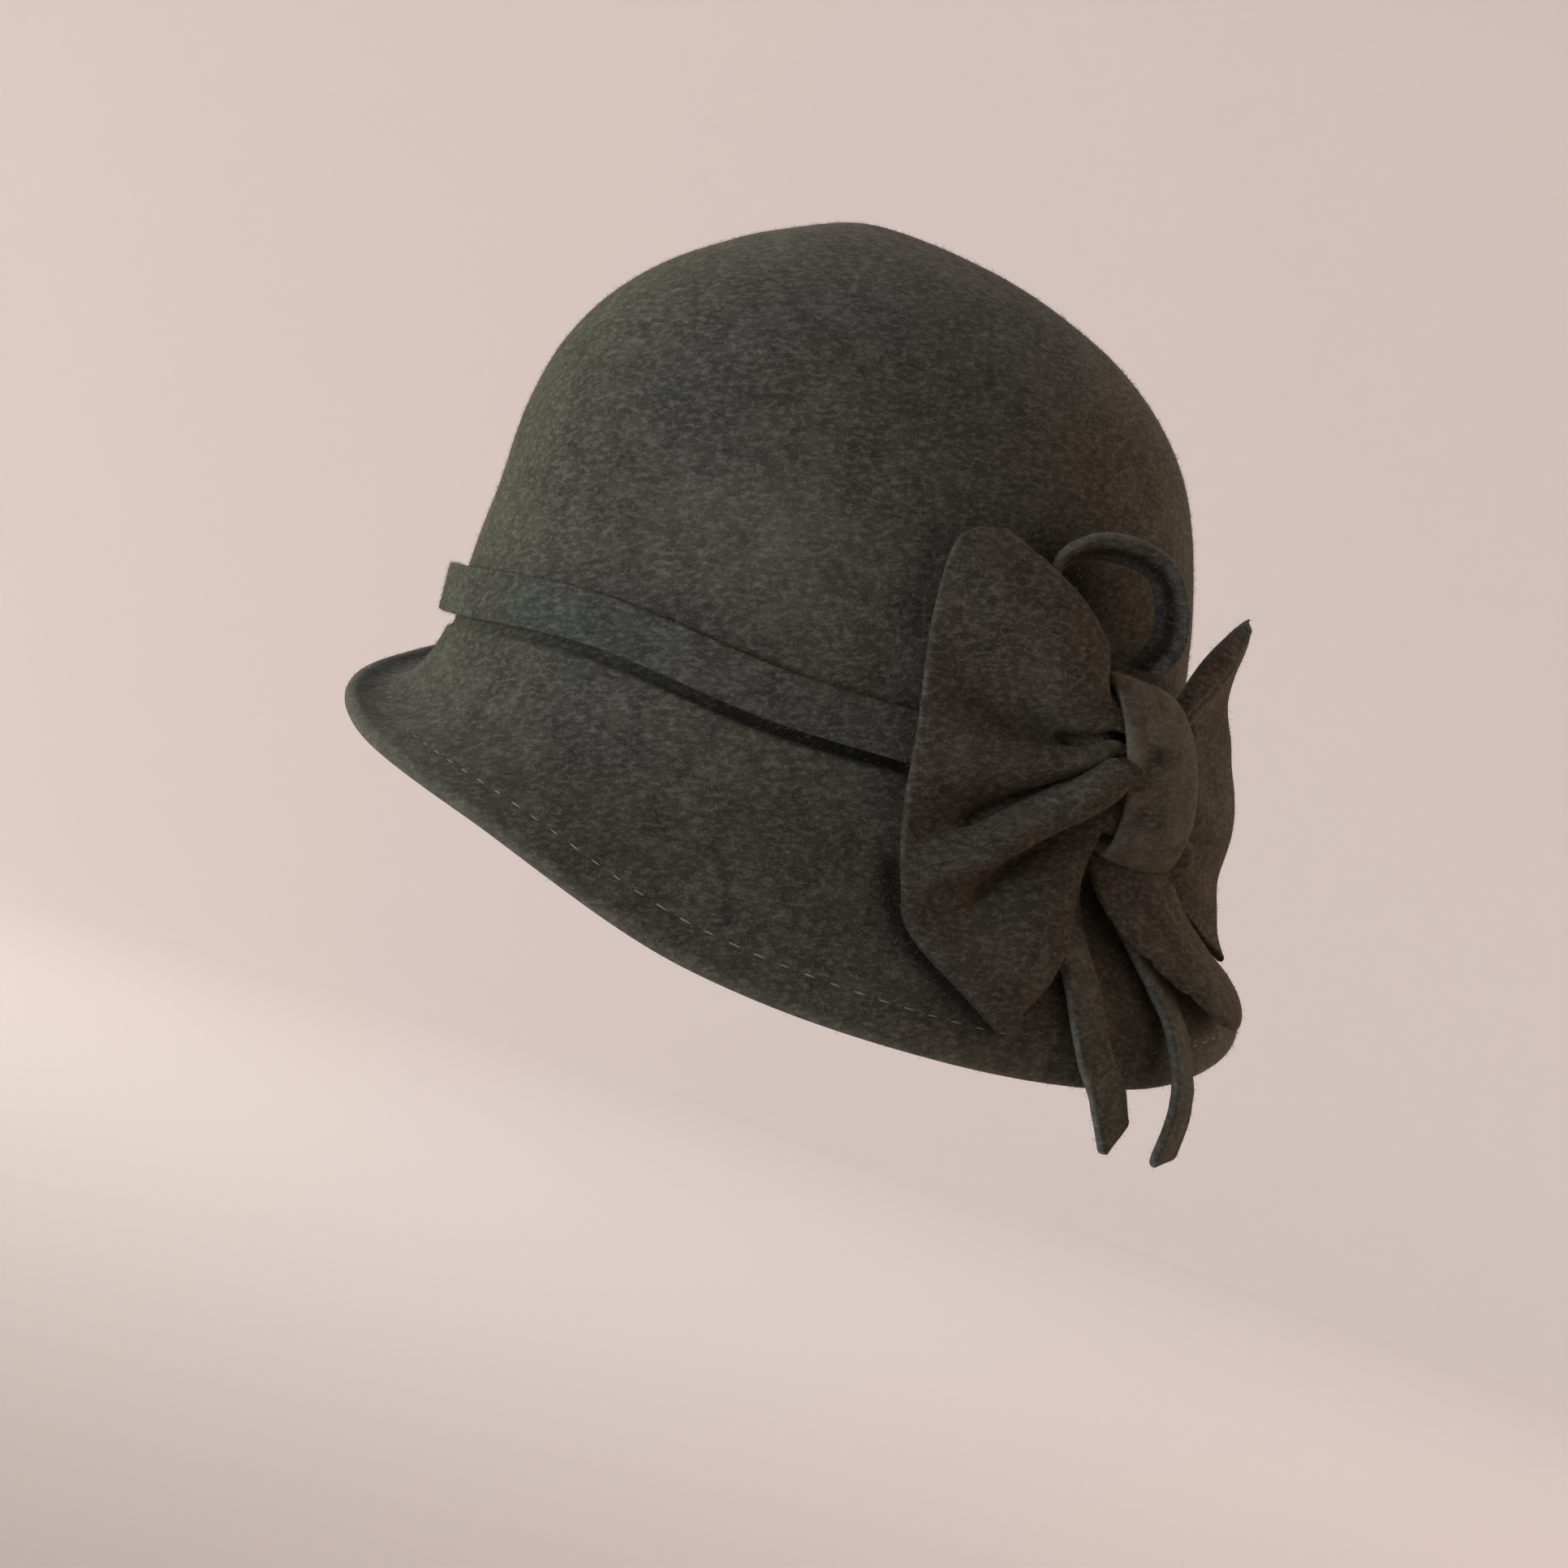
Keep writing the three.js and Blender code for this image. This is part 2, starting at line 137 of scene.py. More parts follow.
def felt(name, ground, brown, pale, dark):
    """Wool felt: dyed ground, brownish dye clouds, pale and dark fibres, a soft sheen, and each
    mesh's rubbing, painted sheen and painted shade.
    """
    material = bpy.data.materials.new(name)
    material.use_nodes = True
    tree = material.node_tree
    tree.nodes.clear()
    place = add_node(tree, "ShaderNodeTexCoord").outputs["Object"]
    turned = add_node(tree, "ShaderNodeVectorRotate", {
        "Vector": place, "Axis": GRAIN_AXIS, "Angle": -math.radians(GRAIN_TURN)},
        rotation_type="AXIS_ANGLE")
    flat = add_node(tree, "ShaderNodeMapping",
                    {"Vector": turned.outputs[0], "Scale": (1, 1, FLECK_LENGTH / FLECK_HEIGHT)})

    def cloud(size, detail, offset, source=place, roughness=0.6):
        moved = add_node(tree, "ShaderNodeMapping", {"Vector": source, "Location": (offset, 0, 0)})
        return add_node(tree, "ShaderNodeTexNoise", {
            "Vector": moved.outputs[0], "Scale": 1 / (size * MM), "Detail": detail,
            "Roughness": roughness}).outputs[0]

    def share(value, low, high, most=1.0):
        return add_node(tree, "ShaderNodeMapRange", {
            "Value": value, "From Min": low, "From Max": high, "To Max": most}).outputs[0]

    def colour_mix(amount, first, second):
        node = tree.nodes.new("ShaderNodeMix")
        node.data_type = "RGBA"
        for socket, value in zip((node.inputs[0], node.inputs[6], node.inputs[7]),
                                 (amount, first, second)):
            if isinstance(value, bpy.types.NodeSocket):
                tree.links.new(value, socket)
            else:
                socket.default_value = value
        return node.outputs[2]

    flecks = cloud(FLECK_LENGTH, 3, 0.0, flat.outputs[0], 0.7)
    locks = cloud(FLECK_LENGTH * 2.0, 3, 0.7, flat.outputs[0], 0.7)
    fine = cloud(FLECK_LENGTH * 0.35, 2, 0.4, flat.outputs[0])
    wear_light_and_shade = add_node(tree, "ShaderNodeAttribute", attribute_name="edge").outputs["Fac"]
    colour = colour_mix(share(cloud(DYE, 2, 0.1), 0.35, 0.65), linear(ground), linear(brown))
    layers = [  # pattern, where it starts, where it is full, how much it covers, its colour
        (cloud(MOTTLE, 4, 0.3), 0.35, 0.7, 0.55, dark),
        (locks, 0.44, 0.7, 0.48, dark),
        (flecks, 0.46, 0.82, 0.45, pale),
        (fine, 0.58, 0.85, 0.22, pale),
        # paler for rubbing and a painted sheen where the number is above 0, painted shade where it
        # is below 0
        (wear_light_and_shade, 0.0, 1.0, 0.2, pale),
        (wear_light_and_shade, 0.0, -1.0, 0.9, PAINTED_SHADE),
    ]
    for pattern, start, full, most, layer in layers:
        colour = colour_mix(share(pattern, start, full, most), colour, linear(layer))
    height = add_node(tree, "ShaderNodeMath", {0: flecks, 1: fine}, operation="ADD")
    bump = add_node(tree, "ShaderNodeBump", {
        "Height": height.outputs[0], "Strength": 1.0, "Distance": NAP_DEPTH * MM})
    shader = add_node(tree, "ShaderNodeBsdfPrincipled", {
        "Base Color": colour, "Roughness": 0.92, "Normal": bump.outputs[0],
        "Specular IOR Level": 0.15, "Sheen Weight": 0.18, "Sheen Roughness": 0.4,
        "Sheen Tint": linear(0xD2C3A2)})
    add_node(tree, "ShaderNodeOutputMaterial", {"Surface": shader.outputs[0]})
    return material


HAT_FELT = felt("wool felt, hood", 0x4F524C, 0x545047, 0xA0A196, 0x1F2120)
STRIP_FELT = felt("wool felt, strip", 0x4E544F, 0x4F4F49, 0x9A9D93, 0x1E2020)
BOW_FELT = felt("wool felt, bow", 0x48483F, 0x4B453D, 0x99978B, 0x1F1E1D)
print("felts:", [m.name for m in (HAT_FELT, STRIP_FELT, BOW_FELT)])

# %% [markdown]
# ## The form of the hat
# A milliner blocks the hood over a wooden crown block and stretches the brim over a second one.
# The form here is the same two blocks: level sections for the crown, and for the brim one flare
# in each direction round the head. A direction is an angle from the front towards the wearer's
# left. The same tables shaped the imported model, so that everything meets it without fitting.

# %% The two blocks
FELT = 2.4  # mm, thickness of the felt
STRIP = 12.6  # mm, width of the narrow felt strip, in the band and the tails
HEAD_OVAL = 2.15  # exponent of the head oval, where 2 is an ellipse
BRIM_EASE = 0.42  # length of the flare's two handles, as a share of the brim's chord
CROWN = np.array([  # height, half length, half width, shift towards the back
    (0, 99.8, 84, 0),
    (25, 97.6, 83, -1.2),
    (50, 94.5, 80, -4),
    (72, 88, 74, -5),
    (92, 76, 64, -4.5),
    (108, 57, 48, -4.5),
    (117.5, 37, 31, -8),
    (123, 16, 14, -16),
    (124, 0, 0, -20),
])
BRIM_STEP = 30  # degrees between the rows of the brim
BRIM = np.array([  # band's height, edge's reach, edge's height, slope of the lip
    (-0.7, 22, -36, 100),  # front
    (2, 28, -48.5, 62),
    (-1.9, 31, -66.5, 34),
    (-0.9, 35, -71, 15),  # wearer's left
    (0, 37, -67, -5),
    (-1, 35.5, -53.5, -15),
    (-1, 34.5, -47, 0),  # back
    (0, 30, -41, 15),
    (1, 24, -27, 50),
    (1, 18, -12, 100),  # wearer's right
    (1, 16, -7.5, 138),
    (0, 16, -22, 135),
], float)


def spline(a, b, c, d, t):
    """A smooth curve through four values, between the second and the third."""
    start, end, rise = (c - a) / 2, (d - b) / 2, c - b
    return b + t * (start + t * (3 * rise - 2 * start - end + t * (start + end - 2 * rise)))


def along_rows(rows, place):
    """The rows' values at places between them, where 0 is the first row."""
    rows, place = np.asarray(rows, float), np.asarray(place, float)
    padded = np.concatenate([2 * rows[:1] - rows[1:2], rows, 2 * rows[-1:] - rows[-2:-1]])
    i = np.clip(np.floor(place).astype(int), 0, len(rows) - 2)
    t = (place - i).reshape(place.shape + (1,) * (rows.ndim - 1))
    return spline(padded[i], padded[i + 1], padded[i + 2], padded[i + 3], t)


def around_brim(direction):
    """The brim table's columns in any direction."""
    place = np.mod(np.asarray(direction, float), 360) / BRIM_STEP
    i, n = np.floor(place).astype(int), len(BRIM)
    return spline(BRIM[(i - 1) % n], BRIM[i % n], BRIM[(i + 1) % n], BRIM[(i + 2) % n],
                  (place - i)[..., None])


def polar(direction, distance, z):
    """The point at a distance from the axis, in a direction, at a height."""
    angle = np.radians(direction)
    return np.stack(np.broadcast_arrays(np.sin(angle) * distance, -np.cos(angle) * distance, z), -1)


def oval_reach(direction, half_length, half_width):
    """How far the head oval reaches in a direction."""
    angle = np.radians(direction)
    across = np.abs(np.sin(angle) / half_width) ** HEAD_OVAL
    return (across + np.abs(np.cos(angle) / half_length) ** HEAD_OVAL) ** (-1 / HEAD_OVAL)


def brim_point(direction, place):
    """The brim's outside, from the band's lower edge (0) to the brim's edge (1)."""
    band, out, low, lip = np.moveaxis(around_brim(direction), -1, 0)
    top, lip = band - STRIP / 2, np.radians(lip)
    handle = BRIM_EASE * np.hypot(out, low - top)
    s = 1 - place
    second, third = 3 * place * s * s, 3 * place * place * s
    x = third * (out - handle * np.sin(lip)) + place**3 * out
    z = (s**3 + second) * top - second * handle
    z = z + third * (low + handle * np.cos(lip)) + place**3 * low
    return polar(direction, oval_reach(direction, *CROWN[0, 1:3]) + x, z)


def crown_point(direction, place):
    """The outside of the crown, at a place between the rows of its table."""
    z, length, width, back = np.moveaxis(along_rows(CROWN, place), -1, 0)
    reach = oval_reach(direction, np.maximum(length, 1e-3), np.maximum(width, 1e-3))
    point = polar(direction, reach, z)
    point[..., 1] += back
    return point


FINE_ROWS = np.linspace(0, len(CROWN) - 1, 800)
FINE_HEIGHTS = along_rows(CROWN, FINE_ROWS)[:, 0]
FINE_DIRECTIONS = np.arange(0, 361, 2.5)
FINE_PLACES = np.linspace(0, 1, 90)
FINE_BRIM = brim_point(FINE_DIRECTIONS[:, None], FINE_PLACES[None, :])


def hat_reach(direction, z):
    """How far the hat's outside is from the axis, in each direction and at each height."""
    direction, z = np.broadcast_arrays(np.asarray(direction, float), np.asarray(z, float))
    section = along_rows(CROWN, np.interp(np.maximum(z, 0), FINE_HEIGHTS, FINE_ROWS))
    _, length, width, back = np.moveaxis(section, -1, 0)
    way = polar(direction, 1.0, 0.0)
    low, high = np.zeros(z.shape), np.full(z.shape, 150.0)
    for _ in range(40):
        middle = (low + high) / 2
        outside = (np.abs(way[..., 0] * middle / width) ** HEAD_OVAL
                   + np.abs((way[..., 1] * middle - back) / length) ** HEAD_OVAL) > 1
        low, high = np.where(outside, low, middle), np.where(outside, middle, high)
    reach = low
    below = z < around_brim(direction)[..., 0] - STRIP / 2
    for k in np.argwhere(below & (z < 0)):
        k = tuple(k)
        place = np.mod(direction[k], 360) / 2.5
        i = int(place)
        brim = FINE_BRIM[i] * (i + 1 - place) + FINE_BRIM[i + 1] * (place - i)
        reach[k] = np.interp(-z[k], -brim[:, 2], np.hypot(brim[:, 0], brim[:, 1]))
    return reach


def on_hat(places):
    """Points from rows of direction, height and how far each stands off the hat."""
    direction, z, off = np.moveaxis(np.asarray(places, float), -1, 0)
    return polar(direction, hat_reach(direction, z) + off, z)


print("head opening in mm:", [round(2 * (half - FELT), 1) for half in CROWN[0, 1:3]])

# %% [markdown]
# ## The hood: crown and brim in one piece
# The hood has no seam. Its brim ends in a hem: the edge is turned in by about twelve millimetres
# and sewn down, so the rim is twice as thick as the rest, round at its edge, and has a small step
# inside where the cut edge lies. Where the crown turns into the brim the felt is drawn in to a
# crease under the band, which shows as a dark line of painted shade, and hardly at all at the
# front. Rows of points run from the rim up to the tip. Close to the rim they are spaced by
# distance from the edge, to carry the hem's round edge, its step, and the shallow groove that
# the stitches pull into it. A little unevenness is what steam and hands leave. The felt is paler
# at the rim, for rubbing and a painted sheen, and in a patch on the crown's left front. Shade is
# also painted dark behind the bow and along the leaf's edge on the brim.

# %% Build the hood
COLUMNS = 288
HEM = 12.0  # mm, how far the edge is turned in
HEM_ROUND = FELT * 0.9  # mm, radius of the rim
SEAM = 10.0  # mm, from the rim to the stitches
GROOVE, GROOVE_HALF = 0.4, 0.9  # mm, depth and half width of what the stitches pull in
HEM_ROWS = np.array([0, 0.12, 0.4, 0.9, 1.5, HEM_ROUND, 3, 4.2, 5.6, 7, 8.3, 9.2, SEAM, 10.8,
                     HEM - 0.15, HEM + 0.15, HEM + 0.8, 13.8])
BRIM_ROWS, CROWN_ROWS = 30, 72
CREASE_ROWS = np.array([4.5, 3.6, 3.1, 2.8, 2.55, 2.3, 2.05, 1.8, 1.5, 1.1, 0.6, 0])  # mm below it
BAND_ROWS = np.array([0.5, 1, 1.6, 2.2, 2.8, 3.4])  # mm over the band's lower edge
CREASE, CREASE_FRONT = 4.0, 0.6  # mm, depth all round and at the front
CREASE_HALF = 2.8  # mm, half its height
WAVES = [(42, 0.9, 1), (16, 0.22, 2)]  # mm across and high, and the seed
PALER_PATCH = (50.0, 34.0, 16.0, 16.0)  # direction and height of a paler patch on the crown, and its half sizes
PAINTED_BOW_SHADE = (105.0, 45.0, 11.0, 13.0)  # the same for the painted shade behind the bow
LEAF_EDGE = [(83, -33), (84.2, -42), (87.3, -48), (92.3, -55), (96.8, -60)]  # direction, height
LEAF_SHADE = 3.6  # mm, half width of the painted shadow along the leaf's edge


def rim_depths(direction):
    """Distances along the brim from its edge, and the places they belong to."""
    places = np.linspace(1, 0, 160)
    path = brim_point(np.full(160, float(direction)), places)
    steps = np.linalg.norm(np.diff(path, axis=0), axis=1)
    return np.concatenate([[0], np.cumsum(steps)]), places


def hood_outside():
    """Rows of points on the hood's outside, and each row's depth from the rim."""
    directions = np.arange(COLUMNS) * 360 / COLUMNS
    columns, depths = [], []
    for direction in directions:
        depth, place = rim_depths(direction)
        rest = np.linspace(HEM_ROWS[-1], depth[-1] - CREASE_ROWS[0], BRIM_ROWS)[1:-1]
        wanted = np.concatenate([HEM_ROWS, rest, depth[-1] - CREASE_ROWS])
        columns.append(brim_point(np.full(len(wanted), direction),
                                  np.interp(wanted, depth, place)))
        depths.append(wanted)
    brim = np.swapaxes(np.array(columns), 0, 1)
    low_edge = around_brim(directions)[:, 0] - STRIP / 2
    behind = polar(directions[None, :], oval_reach(directions, *CROWN[0, 1:3])[None, :],
                   low_edge[None, :] + BAND_ROWS[:, None])
    rows = np.linspace(0, len(CROWN) - 1, CROWN_ROWS + 1)[:-1]
    crown = crown_point(directions[None, :], rows[:, None])
    depth = np.concatenate([np.array(depths).T,
                            np.full((len(BAND_ROWS) + len(rows), COLUMNS), 1e3)])
    return np.concatenate([brim, behind, crown]), depth


def grid_normals(grid, loop_rows=False, loop_columns=False):
    """The surface's normals at the points of a grid."""
    def difference(axis, loop):
        if loop:
            return np.roll(grid, -1, axis) - np.roll(grid, 1, axis)
        return np.gradient(grid, axis=axis)
    return unit(np.cross(difference(1, loop_columns), difference(0, loop_rows)))


def patch(directions, heights, spot):
    """How much each point lies in a soft patch."""
    direction, height, way, rise = spot
    return np.exp(-(((directions - direction) / way) ** 2)[None, :]
                  - ((heights - height) / rise) ** 2)


def beside_leaf(directions, outside):
    """How close each point is to where the front leaf's lower edge lies over the brim."""
    nearest = np.full(outside.shape[:2], 1e3)
    reach = np.hypot(outside[..., 0], outside[..., 1])
    places = np.linspace(0, len(LEAF_EDGE) - 1, 60)
    for direction, z in along_rows(LEAF_EDGE, places):
        aside = np.radians(directions - direction)[None, :] * reach
        nearest = np.minimum(nearest, np.hypot(aside, outside[..., 2] - z))
    return np.exp(-((nearest / LEAF_SHADE) ** 2))


def hood_wear_and_painted_light(directions, outside, depth, crease_line):
    """How pale the hood is made at each point by rubbing, a painted sheen and a paler patch, where
    less than 0 is painted shade.
    """
    # the rim paler for rubbing and a painted sheen, and a paler patch on the crown
    rubbing_sheen_and_patch = 0.6 * np.exp(-depth / 2.0) + 0.5 * patch(directions, outside[..., 2], PALER_PATCH)
    around = (directions + 180) % 360 - 180
    # painted shade in the crease under the band, least at the front
    painted_crease_shade = crease_line * (1 - 0.8 * np.exp(-((around / 40) ** 2)))
    # painted shade behind the bow, and a painted shadow along the front leaf's lower edge
    shaded = (1.1 * patch(directions, outside[..., 2], PAINTED_BOW_SHADE)
              + 0.9 * beside_leaf(directions, outside))
    return rubbing_sheen_and_patch - painted_crease_shade - shaded


def hood():
    """The hood as a shell with a round, doubled rim."""
    outside, depth = hood_outside()
    normal = grid_normals(outside, loop_columns=True)
    directions = np.arange(COLUMNS) * 360 / COLUMNS
    # the waves die down towards the hem and under the band
    calm = np.clip(depth / 12, 0.25, 1) * (1 - 0.85 * np.exp(-((outside[..., 2] / 11) ** 4)))
    wave = calm * sum(unevenness(outside, *row) for row in WAVES)
    groove = GROOVE * np.exp(-(((depth - SEAM) / GROOVE_HALF) ** 2))
    bend = np.clip(HEM_ROUND - depth, 0, None)
    drop = HEM_ROUND - np.sqrt(np.maximum(HEM_ROUND**2 - bend**2, 0))
    under_band = outside[..., 2] - (around_brim(directions)[:, 0] - STRIP / 2)[None, :]
    crease_line = np.exp(-np.abs((under_band + 0.3) / CREASE_HALF) ** 9)
    around = (directions + 180) % 360 - 180
    crease = crease_line * (CREASE - (CREASE - CREASE_FRONT) * np.exp(-((around / 32) ** 2)))
    doubled = np.clip((HEM + 0.15 - depth) / 0.3, 0, 1)
    thickness = FELT + (2 * HEM_ROUND - FELT) * doubled
    front = outside + normal * (wave - crease - groove - drop)[..., None]
    back = outside + normal * (wave - 0.7 * crease - thickness + drop)[..., None]
    back[0] = front[0]
    tip = crown_point(np.array(0.0), np.array(len(CROWN) - 1.0))
    lift = front[-1].mean(0)[2] - outside[-1].mean(0)[2]
    rows = np.concatenate([front[::-1], back[1:]])
    tips = [tip + (0, 0, lift), tip + (0, 0, lift - FELT)]
    points = np.concatenate([rows.reshape(-1, 3), tips])
    faces, total = [], len(rows)
    for j in range(COLUMNS):
        k = (j + 1) % COLUMNS
        faces.append((total * COLUMNS, j, k))
        faces += [(i * COLUMNS + j, (i + 1) * COLUMNS + j, (i + 1) * COLUMNS + k, i * COLUMNS + k)
                  for i in range(total - 1)]
        faces.append((total * COLUMNS + 1, (total - 1) * COLUMNS + k, (total - 1) * COLUMNS + j))
    wear_and_painted_light = hood_wear_and_painted_light(directions, outside, depth, crease_line)
    edge = np.concatenate([wear_and_painted_light[::-1].ravel(), wear_and_painted_light[1:].ravel(), [0, 0]])
    return mesh_object("hood", points, faces, HAT_FELT, edge), front


hood_piece, hood_front = hood()

# %% [markdown]
# ## The band
# The band is a strip of the same felt, sewn round the foot of the crown. It follows a rule, the
# head oval, so Geometry Nodes sweep it: a closed path, a profile with soft corners, and a tilt
# along the way. The strip lies against the crown at its top and stands off at its lower edge,
# where the brim begins to flare, which leaves a gap under it; the hood's crease there is painted
# dark as shade. At the front it stands a little proud all over.

# %% Sweep the band
def node_tree(name, inputs):
    """An empty geometry tree with named inputs, its group input and its group output."""
    tree = bpy.data.node_groups.new(name, "GeometryNodeTree")
    tree.interface.new_socket("Geometry", in_out="INPUT", socket_type="NodeSocketGeometry")
    for label, (kind, value) in inputs.items():
        socket = tree.interface.new_socket(label, in_out="INPUT", socket_type=kind)
        if value is not None:
            socket.default_value = value
    tree.interface.new_socket("Geometry", in_out="OUTPUT", socket_type="NodeSocketGeometry")
    start = tree.nodes.new("NodeGroupInput")
    end = tree.nodes.new("NodeGroupOutput")
    return tree, start.outputs, end.inputs


def grown(name, source, tree, values):
    """Runs a geometry tree on a mesh and gives its result as a plain mesh object."""
    holder = bpy.data.objects.new(name + " source", source)
    bpy.context.scene.collection.objects.link(holder)
    modifier = holder.modifiers.new("nodes", "NODES")
    modifier.node_group = tree
    for item in tree.interface.items_tree:
        if item.in_out == "INPUT" and item.name in values:
            modifier[item.identifier] = values[item.name]
    evaluated = holder.evaluated_get(bpy.context.evaluated_depsgraph_get())
    mesh = bpy.data.meshes.new_from_object(evaluated)
    holder.modifiers.remove(modifier)
    bpy.data.objects.remove(holder)
    mesh.name = name
    mesh.polygons.foreach_set("use_smooth", [True] * len(mesh.polygons))
    piece = bpy.data.objects.new(name, mesh)
    bpy.context.scene.collection.objects.link(piece)
    print(f"{name}: {len(mesh.vertices)} points, {len(mesh.polygons)} faces")
    return piece


def path_mesh(name, points, closed, **values):
    """A line of edges through points in millimetres, with one number per point for each value."""
    n = len(points)
    edges = [(i, (i + 1) % n) for i in range(n if closed else n - 1)]
    mesh = bpy.data.meshes.new(name)
    mesh.from_pydata((np.asarray(points) * MM).tolist(), edges, [])
    for label, numbers in values.items():
        mesh.attributes.new(label, "FLOAT", "POINT").data.foreach_set("value", numbers)
    return mesh


def strip_tree():
    """Sweeps a flat strip with soft corners along a level path, leaning by the path's own lean."""
    tree, start, end = node_tree("felt strip round a path", {
        "Width": ("NodeSocketFloat", STRIP * MM), "Thickness": ("NodeSocketFloat", FELT * MM),
        "Corner": ("NodeSocketFloat", 0.5 * MM), "Felt": ("NodeSocketMaterial", None)})
    curve = add_node(tree, "GeometryNodeMeshToCurve", {"Mesh": start["Geometry"]})
    upright = add_node(tree, "GeometryNodeSetCurveNormal", {"Curve": curve.outputs[0]},
                       mode="Z_UP")
    lean = add_node(tree, "GeometryNodeInputNamedAttribute", {"Name": "lean"}, data_type="FLOAT")
    tilted = add_node(tree, "GeometryNodeSetCurveTilt", {
        "Curve": upright.outputs[0], "Tilt": lean.outputs[0]})
    outline = add_node(tree, "GeometryNodeCurvePrimitiveQuadrilateral", {
        "Width": start["Thickness"], "Height": start["Width"]})
    soft = add_node(tree, "GeometryNodeFilletCurve", {
        "Curve": outline.outputs[0], "Radius": start["Corner"], "Count": 3}, mode="POLY")
    swept = add_node(tree, "GeometryNodeCurveToMesh", {
        "Curve": tilted.outputs[0], "Profile Curve": soft.outputs[0]})
    real = add_node(tree, "GeometryNodeRealizeInstances", {"Geometry": swept.outputs[0]})
    dressed = add_node(tree, "GeometryNodeSetMaterial", {
        "Geometry": real.outputs[0], "Material": start["Felt"]})
    tree.links.new(dressed.outputs[0], end["Geometry"])
    return tree


BAND_POINTS = 240
GAP_TOP, GAP_LOW = -0.5, 1.9  # mm off the crown at the strip's two edges, where felt gives a little
FRONT_GAP_TOP, FRONT_GAP_LOW = 2.0, 0.3  # mm more at the front
band_way = np.arange(BAND_POINTS) * 360 / BAND_POINTS
front_share = np.exp(-((((band_way + 190) % 360 - 180) / 45) ** 2))  # 1 at the front
gap_top = GAP_TOP + FRONT_GAP_TOP * front_share
gap_low = GAP_LOW + FRONT_GAP_LOW * front_share
band_reach = oval_reach(band_way, *CROWN[0, 1:3]) + FELT / 2 + (gap_top + gap_low) / 2
band_path = polar(band_way, band_reach, around_brim(band_way)[:, 0])
band_path[:, 2] += unevenness(band_path, 40, 0.3, 3)
band_lean = np.arctan2(gap_low - gap_top, STRIP)
band_piece = grown("band", path_mesh("band path", band_path, True, lean=band_lean), strip_tree(),
                   {"Felt": STRIP_FELT})


# %% [markdown]
# ## How a piece of cut felt is made
# A felt piece is a grid of points on one surface. Its thickness is laid out on both sides along
# the surface's normals, and gets thinner at a cut edge, which rounds that edge. A Solidify
# modifier would give the same wall, but not the soft edge, which is what tells felt from card.

# %% Felt sheet tools
CUT = np.array([(0.0, 0.3), (0.15, 0.66), (0.45, 0.9), (1.0, 1.0)])  # mm in, share of thickness


def cut_steps(length, count):
    """Places from 0 to 1, closer together at both cut edges, and their share of thickness."""
    inner = np.linspace(CUT[-1, 0], length - CUT[-1, 0], count)
    depth = np.concatenate([CUT[:-1, 0], inner, length - CUT[-2::-1, 0]])
    share = np.interp(np.minimum(depth, length - depth), CUT[:, 0], CUT[:, 1])
    return depth / length, share


def felt_sheet(name, grid, share, wear_and_painted_light, material, loop_rows=False):
    """A closed piece of felt round a grid of points, as thick as its share says at each one."""
    normal = grid_normals(grid, loop_rows=loop_rows)
    half = (share * FELT / 2)[..., None]
    rows, columns = grid.shape[:2]
    points = np.concatenate([(grid + normal * half).reshape(-1, 3),
                             (grid - normal * half).reshape(-1, 3)])
    back = rows * columns

    def at(i, j):
        return (i % rows) * columns + j
    faces = []
    for i in range(rows if loop_rows else rows - 1):
        for j in range(columns - 1):
            a, b, c, d = at(i, j), at(i, j + 1), at(i + 1, j + 1), at(i + 1, j)
            faces += [(a, b, c, d), (back + d, back + c, back + b, back + a)]
        for j, flip in ((0, False), (columns - 1, True)):
            a, b = at(i, j), at(i + 1, j)
            rim = (a, b, back + b, back + a)
            faces.append(rim[::-1] if flip else rim)
    if not loop_rows:
        for i, flip in ((0, True), (rows - 1, False)):
            for j in range(columns - 1):
                a, b = at(i, j), at(i, j + 1)
                rim = (a, b, back + b, back + a)
                faces.append(rim[::-1] if flip else rim)
    return mesh_object(name, points, faces, material, np.concatenate([wear_and_painted_light.ravel()] * 2))


def edge_wear_and_painted_sheen(share):
    """Paler where the felt thins to a cut edge, for rubbing and a painted sheen."""
    return np.clip((1 - share) / 0.7, 0, 1) * 0.6


print("share of the thickness at a cut edge:", CUT[0, 1])

# %% [markdown]
# ## The bow's leaves
# The bow is cut from flat felt, gathered in the middle and held by a wrap, so each leaf is a fan
# of folds that run from the knot to the outer edge. Each fold line is one row here: a place at
# the knot's mouth, one half way and one at the edge. A spline across the rows makes the felt run
# smoothly from crest to crease, as a stiff cloth does. A few folds are then pressed sharper, as
# a milliner does with steam and a finger. Cloth simulation was not used, because hat felt holds
# the folds that were steamed into it rather than hanging under its own weight.

# %% Leaf tools
LEAF_LENGTH, LEAF_REACH = 110, 70  # mm, about a leaf's size, to space its points
TUCK = 4  # degrees that a leaf's gathered end goes into the knot
TUCK_STEPS = 4
BLUNT, BLUNT_LENGTH = 0.035, 3  # how much is cut off the upper corner, as a share and in mm


